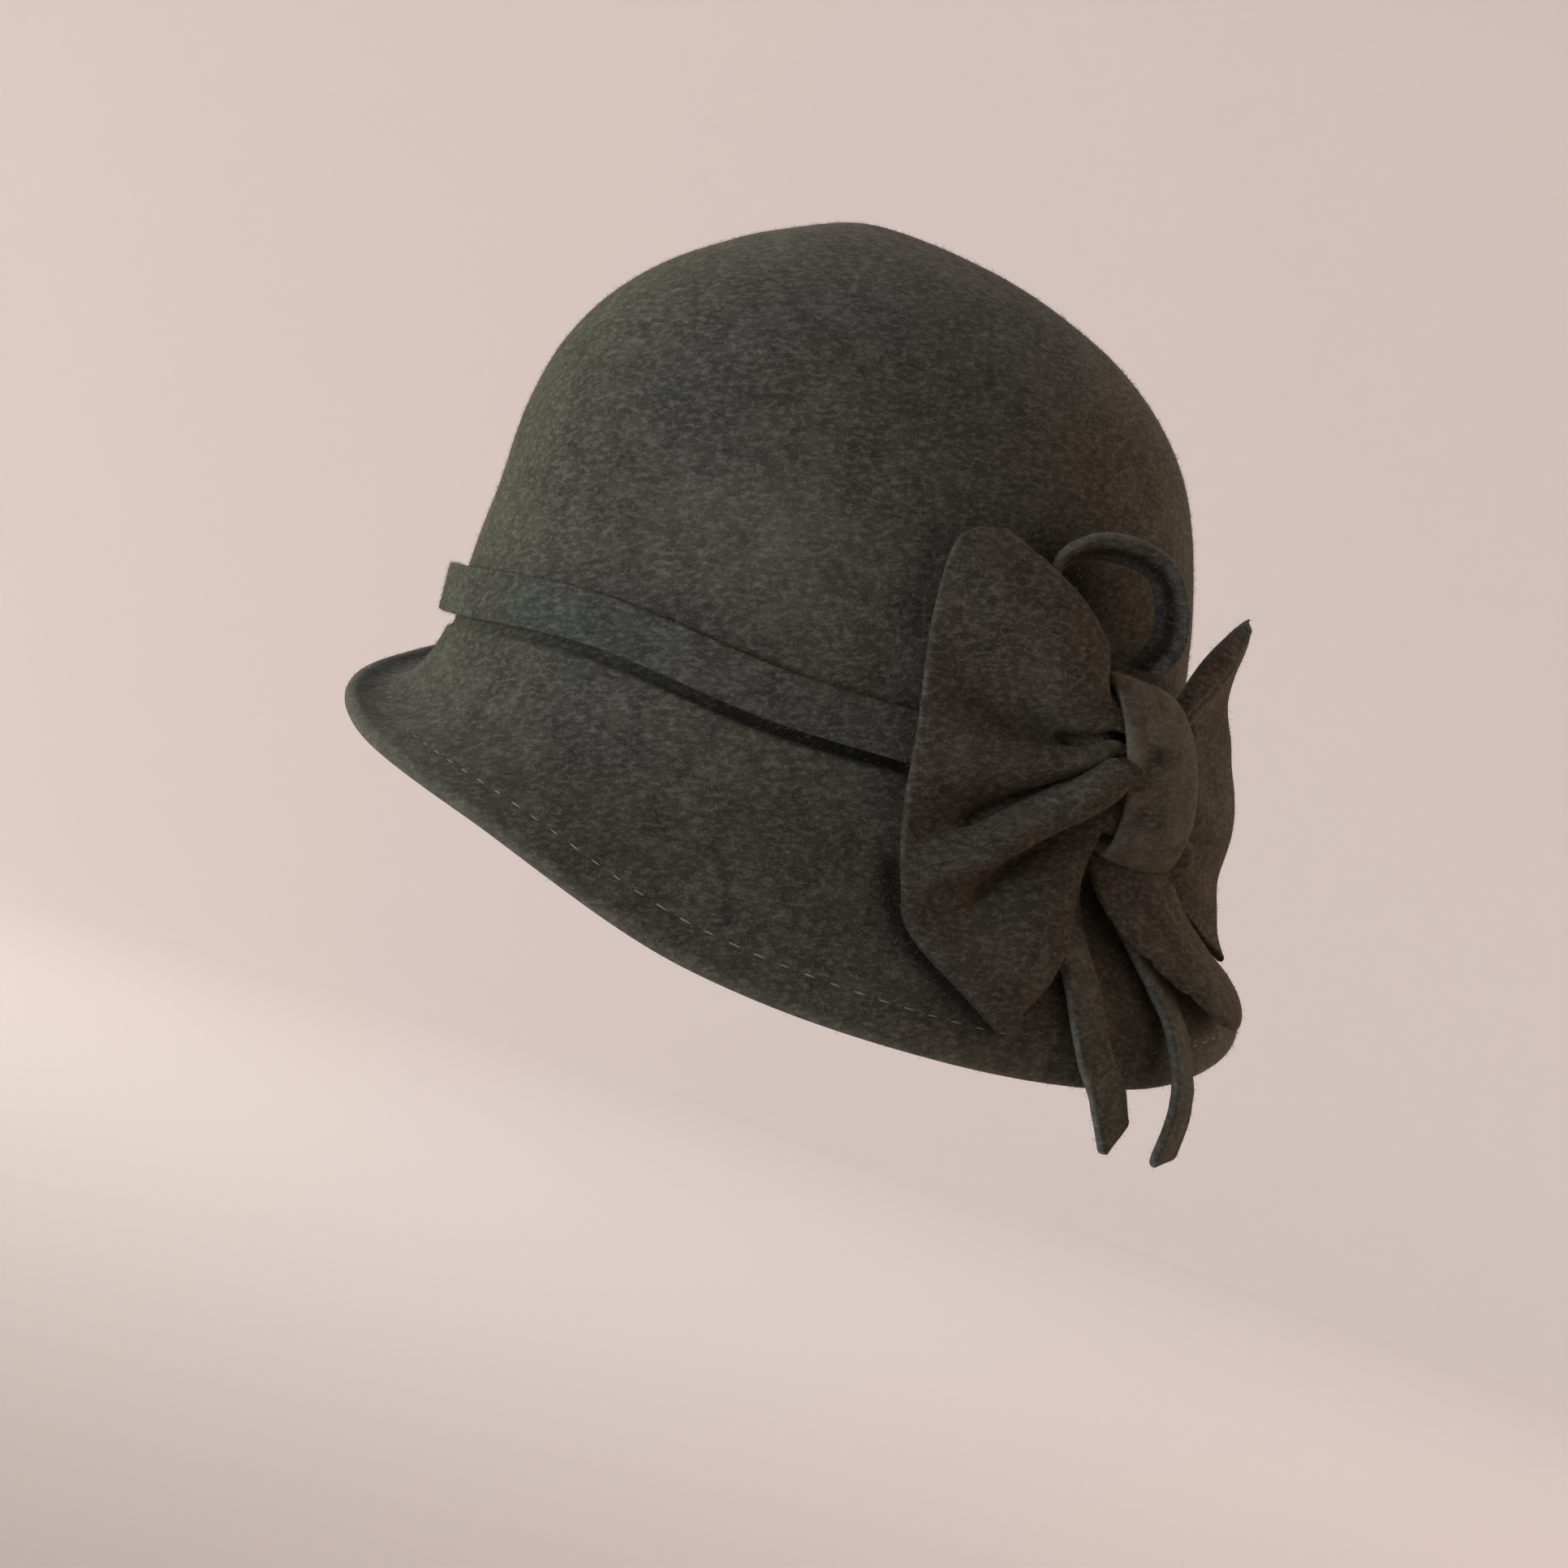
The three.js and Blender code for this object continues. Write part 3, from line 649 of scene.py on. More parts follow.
def leaf_grid(folds, tuck, rows, columns):
    """A leaf's grid of points, from its first fold to its last and from the knot to its edge."""
    folds = np.asarray(folds, float)
    across, across_share = cut_steps(LEAF_LENGTH, rows)
    along, along_share = cut_steps(LEAF_REACH, columns)
    lines = along_rows(folds, across * (len(folds) - 1))
    corner = BLUNT * np.exp(-((across * LEAF_LENGTH / BLUNT_LENGTH) ** 2))
    t = (along[None, :] * (1 - corner[:, None]))[..., None]
    places = (lines[:, None, 0] * (1 - t) * (1 - 2 * t) + lines[:, None, 1] * 4 * t * (1 - t)
              + lines[:, None, 2] * t * (2 * t - 1))
    share = np.minimum(across_share[:, None], along_share[None, :])
    if tuck:
        inside = np.repeat(lines[:, None, 0], TUCK_STEPS, 1)
        inside[..., 0] += tuck * np.array([1, 0.75, 0.5, 0.25])
        places = np.concatenate([inside, places], 1)
        share = np.concatenate([np.repeat(across_share[:, None], TUCK_STEPS, 1), share], 1)
        share[:, TUCK_STEPS:12] = across_share[:, None]  # no cut edge where it enters the knot
    return on_hat(places), share


def pressed(grid, folds, lines):
    """Presses sharp folds into a leaf, each along one row of its table."""
    across, _ = cut_steps(LEAF_LENGTH, grid.shape[0])
    place = across * (len(folds) - 1)
    along = np.linspace(0, 1, grid.shape[1])
    normal = grid_normals(grid)
    lift = np.zeros(grid.shape[:2])
    for row, start, end, height, width in lines:
        k = np.clip(np.searchsorted(place, row), 1, len(place) - 1)
        t = (row - place[k - 1]) / (place[k] - place[k - 1])
        middle = grid[k - 1] * (1 - t) + grid[k] * t
        distance = np.linalg.norm(grid - middle[None], axis=2)
        fade = np.clip((end + 0.06 - along) / 0.12, 0, 1)
        fade = fade * fade * (3 - 2 * fade)
        lift += height * np.exp(-((distance / width) ** 3)) * fade[None, :]
    return grid + normal * lift[..., None]


def leaf(name, folds, lines, tuck, rows, columns, seed):
    """A leaf of the bow, with the small waves and the uneven cut of a hand-cut piece."""
    grid, share = leaf_grid(folds, tuck, rows, columns)
    grid = pressed(grid, folds, lines)
    normal = grid_normals(grid)
    wave = unevenness(grid, 24, 0.8, seed) + unevenness(grid, 9, 0.25, seed + 1)
    grid = grid + normal * wave[..., None]
    lit_above_shaded_below = np.linspace(1, -1.2, grid.shape[0])[:, None]  # edges paler above for rubbing and a painted sheen, painted shade along the lower ones
    return felt_sheet(name, grid, share, edge_wear_and_painted_sheen(share) * lit_above_shaded_below, BOW_FELT)


print("a leaf goes", TUCK, "degrees into the knot")

# %% [markdown]
# ## The folds of the three leaves
# The front leaf has an upper lobe with a pocket under it, and one narrow raised pleat between two
# valleys, which catches the light. The rear leaf goes round to the back of the hat and ends in a
# horn that stands up. The short leaf under the knot is one soft roll.

# %% Build the three leaves
FRONT_LEAF = [  # knot, half way, edge: direction, height, stand-off
    [(104.3, 23, 15), (101, 40, 15.5), (83, 53.5, 8)],  # upper edge
    [(105.9, 21.5, 17.5), (96, 31, 19.5), (77.3, 46, 10)],  # crest of the upper lobe
    [(106.8, 17.5, 20), (96, 19, 17.5), (76.7, 29, 12)],
    [(107.5, 14, 16.5), (99, 9.5, 11), (77.8, 15, 13)],  # pocket
    [(107.9, 11.8, 20), (98.5, 3.5, 17.5), (79.2, 3, 13)],  # crest of the middle panel
    [(108.2, 10.3, 19.5), (98.8, -1.5, 14.5), (80.8, -11, 11)],
    [(108.5, 8.6, 18.5), (100, -6.5, 7.5), (82.8, -26, 7.5)],  # valley
    [(108.9, 6.4, 21), (100.2, -10.2, 18), (83, -36, 10)],  # crest of the pleat
    [(109.3, 3, 20.3), (101.2, -16.5, 12.5), (84, -43, 8)],
    [(110, -1, 18.5), (102.5, -24, 9.5), (86.5, -48, 6.5)],  # valley
    [(110.8, -5, 18.5), (105, -29, 12.5), (91.5, -55, 7.5)],  # lower panel
    [(111.4, -8.5, 16), (108.6, -31, 11.8), (95.7, -60.5, 7.8)],  # lower edge
]
REAR_LEAF = [
    [(120.2, 24.5, 15), (127.2, 44, 17.3), (141.5, 55.5, 17)],  # upper edge
    [(120.6, 22, 17.5), (126.5, 34.5, 19), (135, 49.5, 19.3)],  # crest
    [(121.8, 17, 17), (128.5, 25, 13), (141, 34, 13)],  # pocket
    [(122.8, 12, 17), (130, 15, 15.5), (146, 19, 14)],
    [(123.8, 7, 20), (131, 4, 20), (145, 4, 18)],  # round bulge
    [(124.9, 1.5, 16), (131.5, -6, 16.5), (148, -10, 18)],
    [(125.8, -3, 17.5), (132.5, -12, 15.5), (148, -20, 16)],
    [(126.4, -6, 16), (133.5, -17.5, 12), (146, -31, 8)],  # lower edge
]
UNDER_LEAF = [
    [(114, -14.6, 11), (117.5, -29, 11.6), (123.5, -36.5, 10)],  # front edge
    [(117, -14.6, 12.5), (121.5, -28, 13.2), (127.5, -42, 9.2)],
    [(120.8, -14.4, 13.5), (125.8, -26, 14.5), (133.5, -46.5, 6.8)],  # crest
    [(125, -14, 13.8), (130, -24, 15), (138.5, -42, 6)],
    [(129.5, -11.5, 14), (133, -23, 14.5), (142, -35, 6)],  # rear edge
]
FRONT_FOLDS = [  # row of the leaf, from and to along it as shares, height and half width in mm
    (3.0, 0.0, 0.42, -3.0, 3.0),  # pocket under the upper lobe
    (6.0, 0.0, 0.76, -3.0, 2.4),  # valley over the pleat
    (7.0, 0.0, 0.78, 3.6, 2.3),  # raised pleat
    (8.3, 0.05, 0.76, -3.0, 2.8),  # valley under the pleat
]
REAR_FOLDS = [
    (1.0, 0.0, 0.68, 1.2, 2.0),  # crest
    (2.2, 0.0, 0.45, -3.0, 3.0),  # pocket
    (5.0, 0.0, 0.6, -2.0, 2.5),  # upright crease
]
UNDER_FOLDS = [(2.0, 0.0, 0.7, 0.8, 4.0)]
front_leaf = leaf("front leaf", FRONT_LEAF, FRONT_FOLDS, TUCK, 200, 80, 11)
rear_leaf = leaf("rear leaf", REAR_LEAF, REAR_FOLDS, -TUCK, 150, 64, 13)
under_leaf = leaf("under leaf", UNDER_LEAF, UNDER_FOLDS, 0, 90, 50, 15)

# %% [markdown]
# ## The knot
# A short wrap of felt covers the gathers. It is a tube that is flattened against the hat, fuller
# between its edges, with the front one drawn in towards the folds and a few soft lengthwise
# creases, because it was pulled tight before it was sewn at the back. A swept profile would give
# every turn the same edge, so the tube is worked out point by point.

# %% Build the knot
KNOT = {"from": 109.7, "to": 122.8, "middle": 7.0, "half_height": 20.5, "off": 14.9,
        "half_depth": 9.3, "lean": 0.2}  # lean in degrees for each millimetre of height
KNOT_ROUND = 120
BELLY = 1.8  # mm, how far the wrap bulges between its edges
KNOT_WEAR_AND_LIGHT = 0.8  # how much paler the knot is: rubbing, as the most handled piece, and painted light


def knot():
    """The wrap round the middle of the bow."""
    angle = np.radians(np.arange(KNOT_ROUND) * 360 / KNOT_ROUND)
    across, share = cut_steps(28, 30)
    belly = BELLY * (1 - (2 * across - 1) ** 2)
    # the front edge is drawn in, with a shallow groove behind it
    rolled = -1.4 * np.clip(1 - across / 0.3, 0, 1) ** 2
    rolled = rolled - 0.6 * np.exp(-(((across - 0.2) / 0.06) ** 2))
    off = KNOT["off"] + (KNOT["half_depth"] + (belly + rolled)[None, :]) * np.cos(angle)[:, None]
    z = KNOT["middle"] + (KNOT["half_height"] + 0.4 * belly[None, :]) * np.sin(angle)[:, None]
    direction = (KNOT["from"] + across[None, :] * (KNOT["to"] - KNOT["from"])
                 + KNOT["lean"] * (KNOT["middle"] - z))
    grid = on_hat(np.stack([direction, z, off], -1))
    crease = unevenness(np.stack([across[None, :] * 34 + 0 * off, z * 0.25, off * 0.25], -1),
                        5.5, 0.25, 21)
    grid = grid + grid_normals(grid, loop_rows=True) * crease[..., None]
    share = np.broadcast_to(share, off.shape)
    # paler for rubbing and painted light, in uneven patches, and a painted sheen at its edges
    wear_and_painted_light = edge_wear_and_painted_sheen(share) + KNOT_WEAR_AND_LIGHT + unevenness(grid, 6, 1.4, 22)
    return felt_sheet("knot", grid, share, wear_and_painted_light, BOW_FELT, loop_rows=True)


knot_piece = knot()

# %% [markdown]
# ## The loop and the two tails
# They are one narrow strip: it makes a loop above the knot, passes behind it, and its two ends
# hang over the brim. Each is drawn by a few places along its run. The loop gives both of its
# rims, because it leans in towards the hat. The tails give their middle and a twist. A sweep
# along a curve would twist the strip where it turns sharply, so its width is laid out at each
# point, one by one.

# %% Build the loop and the tails
LOOP = [  # outer rim, rim nearer the hat
    [(106, 31.5, 11), (107, 31.5, 2)],
    [(99, 38, 9), (101, 38, 1.5)],
    [(94.5, 50, 11), (98, 47, 2.5)],
    [(99, 58.5, 14), (101.5, 53, 5)],
    [(106, 61.5, 16.5), (107.5, 55.5, 8)],
    [(113, 59.5, 18.5), (112.5, 54, 11)],
    [(116.2, 51, 20.3), (114.5, 48, 12.5)],
    [(116.8, 40, 20.3), (114.5, 40, 12.5)],
    [(114.5, 31.5, 19), (112, 32, 10)],
]
FRONT_TAIL = [  # direction, height, stand-off, twist
    (113, -17, 7, 0),
    (110.5, -32, 5, 0),
    (109, -48, 4.5, 0),
    (110, -60, 4.5, 0),
    (113, -70, 5.5, 0),
    (115.5, -80, 6.5, 0),
]
REAR_TAIL = [
    (124.5, -17, 5, 0),
    (124, -30, 4.4, 0),
    (123, -42, 4.8, -4),
    (123, -56, 6, -6),
    (123.8, -68, 8, -6),
    (123.3, -83, 8, -4),
]
TAIL_SLANT = 3.0  # mm, how much shorter one side of the cut end is


def loop():
    """The ribbon loop above the knot."""
    along, along_share = cut_steps(110, 120)
    across, across_share = cut_steps(10, 12)
    rims = along_rows(LOOP, along * (len(LOOP) - 1))
    t = across[None, :, None]
    grid = on_hat(rims[:, None, 0] * (1 - t) + rims[:, None, 1] * t)
    share = np.minimum(along_share[:, None], across_share[None, :])
    grid = grid + grid_normals(grid) * unevenness(grid, 14, 0.35, 31)[..., None]
    # painted shade on the side that faces the hat, darkest half way across
    inside = np.clip((across - 0.25) / 0.2, 0, 1) * (1 - 0.55 * np.clip((across - 0.6) / 0.2, 0, 1))
    return felt_sheet("loop", grid, share, edge_wear_and_painted_sheen(share) - 0.95 * inside[None, :], STRIP_FELT)


def tail(name, rows, seed):
    """A free end of the strip, from behind the knot to its slanting cut."""
    along, along_share = cut_steps(70, 90)
    across, across_share = cut_steps(STRIP, 14)
    run = along_rows(rows, along * (len(rows) - 1))
    middle = on_hat(run[:, :3])
    down = unit(np.gradient(middle, axis=0))
    twist = np.radians(run[:, 3])[:, None]
    width = polar(run[:, 0] + 90, 1, 0) * np.cos(twist) + polar(run[:, 0], 1, 0) * np.sin(twist)
    width = unit(width - down * (width * down).sum(1)[:, None])
    # the end is cut on a slant, and its corners have gone round
    slant = np.clip((along - 0.8) / 0.2, 0, 1)[:, None, None] * TAIL_SLANT * across[None, :, None]
    corner = 1 - 0.3 * np.clip((along - 0.97) / 0.03, 0, 1) ** 2
    aside = (across - 0.5)[None, :] * STRIP * corner[:, None]
    grid = middle[:, None] - down[:, None] * slant + width[:, None] * aside[..., None]
    share = np.minimum(along_share[:, None], across_share[None, :])
    wave = unevenness(grid, 16, 0.6, seed) + unevenness(grid, 6, 0.2, seed + 1)
    grid = grid + grid_normals(grid) * wave[..., None]
    return felt_sheet(name, grid, share, edge_wear_and_painted_sheen(share), STRIP_FELT)


loop_piece = loop()
front_tail = tail("front tail", FRONT_TAIL, 33)
rear_tail = tail("rear tail", REAR_TAIL, 35)

# %% [markdown]
# ## The hem stitches
# A row of grey-green running stitches holds the hem. Stitches repeat along a line, so Geometry
# Nodes place one small thread at each step of the line, turned along it and half sunk in the
# groove that it pulls into the felt. At the front and under the bow they are pulled deeper and
# hardly show. A stitch is a ball that is stretched along the line, which is enough at its size.

# %% Sew the hem
STITCH_PITCH = 6.3  # mm
STITCH_LENGTH = 2.9  # mm
THREAD = 0.42  # mm thick
PLY = 0.3  # mm, one turn of the thread's strands
STITCH_RISE, STITCH_SUNK = 0.16, 0.36  # mm over the groove, and how much deeper where it is tight


def thread_material():
    """Spun polyester thread: a little glossier than the felt, with the light of its twist."""
    material = bpy.data.materials.new("spun polyester thread")
    material.use_nodes = True
    tree = material.node_tree
    tree.nodes.clear()
    place = add_node(tree, "ShaderNodeTexCoord").outputs["Object"]
    ply = add_node(tree, "ShaderNodeTexNoise", {"Vector": place, "Scale": 1 / (PLY * MM)})
    ramp = add_node(tree, "ShaderNodeValToRGB", {"Fac": ply.outputs[0]})
    ramp.color_ramp.elements[0].color = linear(0x777A6C)
    ramp.color_ramp.elements[1].color = linear(0xA9AB99)
    bump = add_node(tree, "ShaderNodeBump", {
        "Height": ply.outputs[0], "Strength": 0.5, "Distance": 0.1 * MM})
    shader = add_node(tree, "ShaderNodeBsdfPrincipled", {
        "Base Color": ramp.outputs[0], "Roughness": 0.6, "Normal": bump.outputs[0]})
    add_node(tree, "ShaderNodeOutputMaterial", {"Surface": shader.outputs[0]})
    return material


def stitch_tree():
    """Places a thread at each step of a path, along the path, with a little chance in it."""
    tree, start, end = node_tree("running stitch", {
        "Pitch": ("NodeSocketFloat", STITCH_PITCH * MM),
        "Length": ("NodeSocketFloat", STITCH_LENGTH * MM),
        "Thickness": ("NodeSocketFloat", THREAD * MM),
        "Seed": ("NodeSocketInt", 5), "Thread": ("NodeSocketMaterial", None)})
    curve = add_node(tree, "GeometryNodeMeshToCurve", {"Mesh": start["Geometry"]})
    steps = add_node(tree, "GeometryNodeResampleCurve", {
        "Curve": curve.outputs[0], "Length": start["Pitch"]}, mode="LENGTH")
    tangent = add_node(tree, "GeometryNodeInputTangent")
    turn = add_node(tree, "FunctionNodeAlignRotationToVector", {"Vector": tangent.outputs[0]},
                    axis="X")
    chance = add_node(tree, "FunctionNodeRandomValue", {
        "Min": (0.75, 0.8, 0.8), "Max": (1.15, 1.1, 1.1), "Seed": start["Seed"]},
        data_type="FLOAT_VECTOR")
    ball = add_node(tree, "GeometryNodeMeshUVSphere", {"Segments": 8, "Rings": 6, "Radius": 0.5})
    size = add_node(tree, "ShaderNodeCombineXYZ", {
        "X": start["Length"], "Y": start["Thickness"], "Z": start["Thickness"]})
    one = add_node(tree, "GeometryNodeTransform", {
        "Geometry": ball.outputs["Mesh"], "Scale": size.outputs[0]})
    put = add_node(tree, "GeometryNodeInstanceOnPoints", {
        "Points": steps.outputs[0], "Instance": one.outputs[0], "Rotation": turn.outputs[0],
        "Scale": chance.outputs[0]})
    real = add_node(tree, "GeometryNodeRealizeInstances", {"Geometry": put.outputs[0]})
    dressed = add_node(tree, "GeometryNodeSetMaterial", {
        "Geometry": real.outputs[0], "Material": start["Thread"]})
    tree.links.new(dressed.outputs[0], end["Geometry"])
    return tree


THREAD_MATERIAL = thread_material()
seam_row = int(np.argmin(np.abs(HEM_ROWS - SEAM)))
seam_way = (np.arange(COLUMNS) * 360 / COLUMNS + 180) % 360 - 180
sunk = np.exp(-((seam_way / 24) ** 2)) + np.exp(-(((seam_way - 112) / 25) ** 2))  # front, bow
seam_line = (hood_front[seam_row] + grid_normals(hood_front, loop_columns=True)[seam_row]
             * (STITCH_RISE - STITCH_SUNK * sunk)[:, None])
stitches = grown("hem stitches", path_mesh("seam", seam_line, True), stitch_tree(),
                 {"Thread": THREAD_MATERIAL})

# %% [markdown]
# ## The nap
# Brushed felt has loose wool fibres standing off it, some of them pale, and they show as a soft
# edge against the light. Hair curves would do it too, but they are lost in an export of meshes.
# Geometry Nodes scatter the fibres instead: each is one flat blade that gets thinner to its tip,
# leans off the felt and has a random turn. Real fibres are about 0.03 mm thick. These are drawn
# up to three and a half times as thick, because thinner ones would not show.

# %% Raise the nap
NAP_LENGTH = 1.3  # mm
NAP_WIDTH = 0.08  # mm
FIBRE_DYE = 0.4  # mm, from one fibre's dye to the next one's
FIBRE_TIP = 0.7  # share of its width that a fibre has lost at its tip
FIBRE_LEAN = 0.4  # how far a fibre's tip stands off, as a share of its length
NAP_PER_M2 = 860_000


def fibre_material():
    """Single wool fibres: the felt's own dye, and now and then one that took little of it."""
    material = bpy.data.materials.new("wool fibre, dyed")
    material.use_nodes = True
    tree = material.node_tree
    tree.nodes.clear()
    place = add_node(tree, "ShaderNodeTexCoord").outputs["Object"]
    dye = add_node(tree, "ShaderNodeTexNoise", {"Vector": place, "Scale": 1 / (FIBRE_DYE * MM)})
    ramp = add_node(tree, "ShaderNodeValToRGB", {"Fac": dye.outputs[0]})
    ramp.color_ramp.elements[0].position = 0.45
    ramp.color_ramp.elements[0].color = linear(0x34332B)
    ramp.color_ramp.elements[1].position = 0.7
    ramp.color_ramp.elements[1].color = linear(0xA8A58E)
    shader = add_node(tree, "ShaderNodeBsdfPrincipled", {
        "Base Color": ramp.outputs[0], "Roughness": 0.8, "Specular IOR Level": 0.2})
    add_node(tree, "ShaderNodeOutputMaterial", {"Surface": shader.outputs[0]})
    return material


def nap_tree():
    """Scatters fibres over a surface, each one flat blade."""
    tree, start, end = node_tree("felt nap", {
        "Density": ("NodeSocketFloat", float(NAP_PER_M2)),
        "Length": ("NodeSocketFloat", NAP_LENGTH * MM),
        "Width": ("NodeSocketFloat", NAP_WIDTH * MM),
        "Seed": ("NodeSocketInt", 3), "Fibre": ("NodeSocketMaterial", None)})
    spots = add_node(tree, "GeometryNodeDistributePointsOnFaces", {
        "Mesh": start["Geometry"], "Density": start["Density"], "Seed": start["Seed"]})
    blade = add_node(tree, "GeometryNodeMeshGrid", {
        "Size X": 1.0, "Size Y": 1.0, "Vertices X": 2, "Vertices Y": 2})
    place = add_node(tree, "GeometryNodeInputPosition")
    parts = add_node(tree, "ShaderNodeSeparateXYZ", {"Vector": place.outputs[0]})
    along = add_node(tree, "ShaderNodeMath", {0: parts.outputs["Y"], 1: 0.5}, operation="ADD")
    thin = add_node(tree, "ShaderNodeMath", {0: along.outputs[0], 1: -FIBRE_TIP, 2: 1.0},
                    operation="MULTIPLY_ADD")
    x = add_node(tree, "ShaderNodeMath", {0: parts.outputs["X"], 1: thin.outputs[0]},
                 operation="MULTIPLY")
    x = add_node(tree, "ShaderNodeMath", {0: x.outputs[0], 1: start["Width"]},
                 operation="MULTIPLY")
    y = add_node(tree, "ShaderNodeMath", {0: along.outputs[0], 1: start["Length"]},
                 operation="MULTIPLY")
    z = add_node(tree, "ShaderNodeMath", {0: y.outputs[0], 1: FIBRE_LEAN}, operation="MULTIPLY")
    shape = add_node(tree, "ShaderNodeCombineXYZ", {
        "X": x.outputs[0], "Y": y.outputs[0], "Z": z.outputs[0]})
    fibre = add_node(tree, "GeometryNodeSetPosition", {
        "Geometry": blade.outputs["Mesh"], "Position": shape.outputs[0]})
    chance = add_node(tree, "FunctionNodeRandomValue", {
        "Min": (-0.25, -0.5, 0.0), "Max": (0.35, 0.5, 2 * math.pi), "Seed": start["Seed"]},
        data_type="FLOAT_VECTOR")
    lay = add_node(tree, "FunctionNodeEulerToRotation", {"Euler": chance.outputs[0]})
    turn = add_node(tree, "FunctionNodeRotateRotation", {
        "Rotation": spots.outputs["Rotation"], "Rotate By": lay.outputs[0]},
        rotation_space="LOCAL")
    size = add_node(tree, "FunctionNodeRandomValue", {
        "Min": 0.4, "Max": 1.3, "Seed": start["Seed"]}, data_type="FLOAT")
    # the float sockets of a random value node come after its vector ones
    put = add_node(tree, "GeometryNodeInstanceOnPoints", {
        "Points": spots.outputs["Points"], "Instance": fibre.outputs[0],
        "Rotation": turn.outputs[0], "Scale": size.outputs[1]})
    real = add_node(tree, "GeometryNodeRealizeInstances", {"Geometry": put.outputs[0]})
    dressed = add_node(tree, "GeometryNodeSetMaterial", {
        "Geometry": real.outputs[0], "Material": start["Fibre"]})
    tree.links.new(dressed.outputs[0], end["Geometry"])
    return tree


FIBRE = fibre_material()
NAP = nap_tree()


def outer_skin(piece, points):
    """A copy of a piece's mesh with only the faces on its first points, which are its outside."""
    mesh = piece.data.copy()
    inner = [face.index for face in mesh.polygons if max(face.vertices) >= points]
    work = bmesh.new()
    work.from_mesh(mesh)
    work.faces.ensure_lookup_table()
    bmesh.ops.delete(work, geom=[work.faces[i] for i in inner], context="FACES")
    work.to_mesh(mesh)
    work.free()
    return mesh


hood_skin = outer_skin(hood_piece, hood_front.shape[0] * COLUMNS)
hood_nap = grown("hood nap", hood_skin, NAP, {"Fibre": FIBRE, "Seed": 3})
bow_naps = []
for index, piece in enumerate([band_piece, front_leaf, rear_leaf, under_leaf, knot_piece,
                               loop_piece, front_tail, rear_tail]):
    bow_naps.append(grown(piece.name + " nap", piece.data.copy(), NAP,
                          {"Fibre": FIBRE, "Seed": 20 + index}))

# %% [markdown]
# ## What each piece stands for
# Every piece rides on the one body of the hat and stands for its plain solid, which is hidden.

# %% Tie the pieces to the imported model
SHOWN = [  # piece, solid, slot
    (hood_piece, "felt_body", "hat_felt"),
    (band_piece, "hat_band", "strip_felt"),
    (front_leaf, "bow_leaf_front", "bow_felt"),
    (rear_leaf, "bow_leaf_rear", "bow_felt"),
    (under_leaf, "bow_leaf_under", "bow_felt"),
    (knot_piece, "bow_knot", "bow_felt"),
    (loop_piece, "bow_loop", "strip_felt"),
    (front_tail, "bow_tail_front", "strip_felt"),
    (rear_tail, "bow_tail_rear", "strip_felt"),
]
for piece, solid, slot in SHOWN:
    piece.name = piece.name.replace(" ", "_")
    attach(piece, "root")
    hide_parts(solid)
for nap in [hood_nap] + bow_naps:
    nap.name = nap.name.replace(" ", "_")
    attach(nap, "root")
stitches.name = "hem_stitches"
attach(stitches, "root")
print("pieces tied:", len(SHOWN) + len(bow_naps) + 2)

# %% [markdown]
# ## The room
# A plain pale floor that curves up into a round wall, so that the hat is seen against a plain
# ground from every side. A flat backdrop would end at its edges when the view turns.

# %% Build the floor
FLOOR_DEPTH = 0.34  # m below the head opening
WALL_RADIUS = 3.2  # m
WALL_HEIGHT = 3.6  # m
COVE = 1.4  # m, radius of the curve between them


def room():
    """A floor that rises in a wide cove to a round wall."""
    turn = np.linspace(0, math.pi / 2, 14)
    profile = [(0.6, 0.0), (WALL_RADIUS - COVE, 0.0)]
    profile += [(WALL_RADIUS - COVE + COVE * math.sin(a), COVE - COVE * math.cos(a)) for a in turn]
    profile += [(WALL_RADIUS, WALL_HEIGHT)]
    sides = 96
    points, faces = [], []
    for r, z in profile:
        for k in range(sides):
            a = 2 * math.pi * k / sides
            points.append((r * math.cos(a) / MM, r * math.sin(a) / MM, (z - FLOOR_DEPTH) / MM))
    centre = len(points)
    points.append((0, 0, -FLOOR_DEPTH / MM))
    for k in range(sides):
        n = (k + 1) % sides
        faces.append((centre, k, n))
        for i in range(len(profile) - 1):
            faces.append((i * sides + k, (i + 1) * sides + k, (i + 1) * sides + n, i * sides + n))
    material = bpy.data.materials.new("painted plaster")
    material.use_nodes = True
    shader = material.node_tree.nodes["Principled BSDF"]
    shader.inputs["Base Color"].default_value = linear(0xD9CBC5)
    shader.inputs["Roughness"].default_value = 0.95
    shader.inputs["Specular IOR Level"].default_value = 0.1
    mesh_object("floor", points, faces, material)


room()

# %% [markdown]
# ## The camera
# The hat is seen from its wearer's left and a little to the front, from its own height. The
# camera is turned about its view, because the hat is worn tilted while the model stands level.

# %% Set the camera
VIEW_DIRECTION = 65.0  # degrees from the front towards the wearer's left
VIEW_RISE = 1.0  # degrees above the band
VIEW_ROLL = 18.0  # degrees
VIEW_DISTANCE = 0.8  # m
LENS = 68.6  # mm on a 36 mm sensor
AIM_SIDE, AIM_UP = -0.0015, -0.023  # m from the head opening to the middle of the view


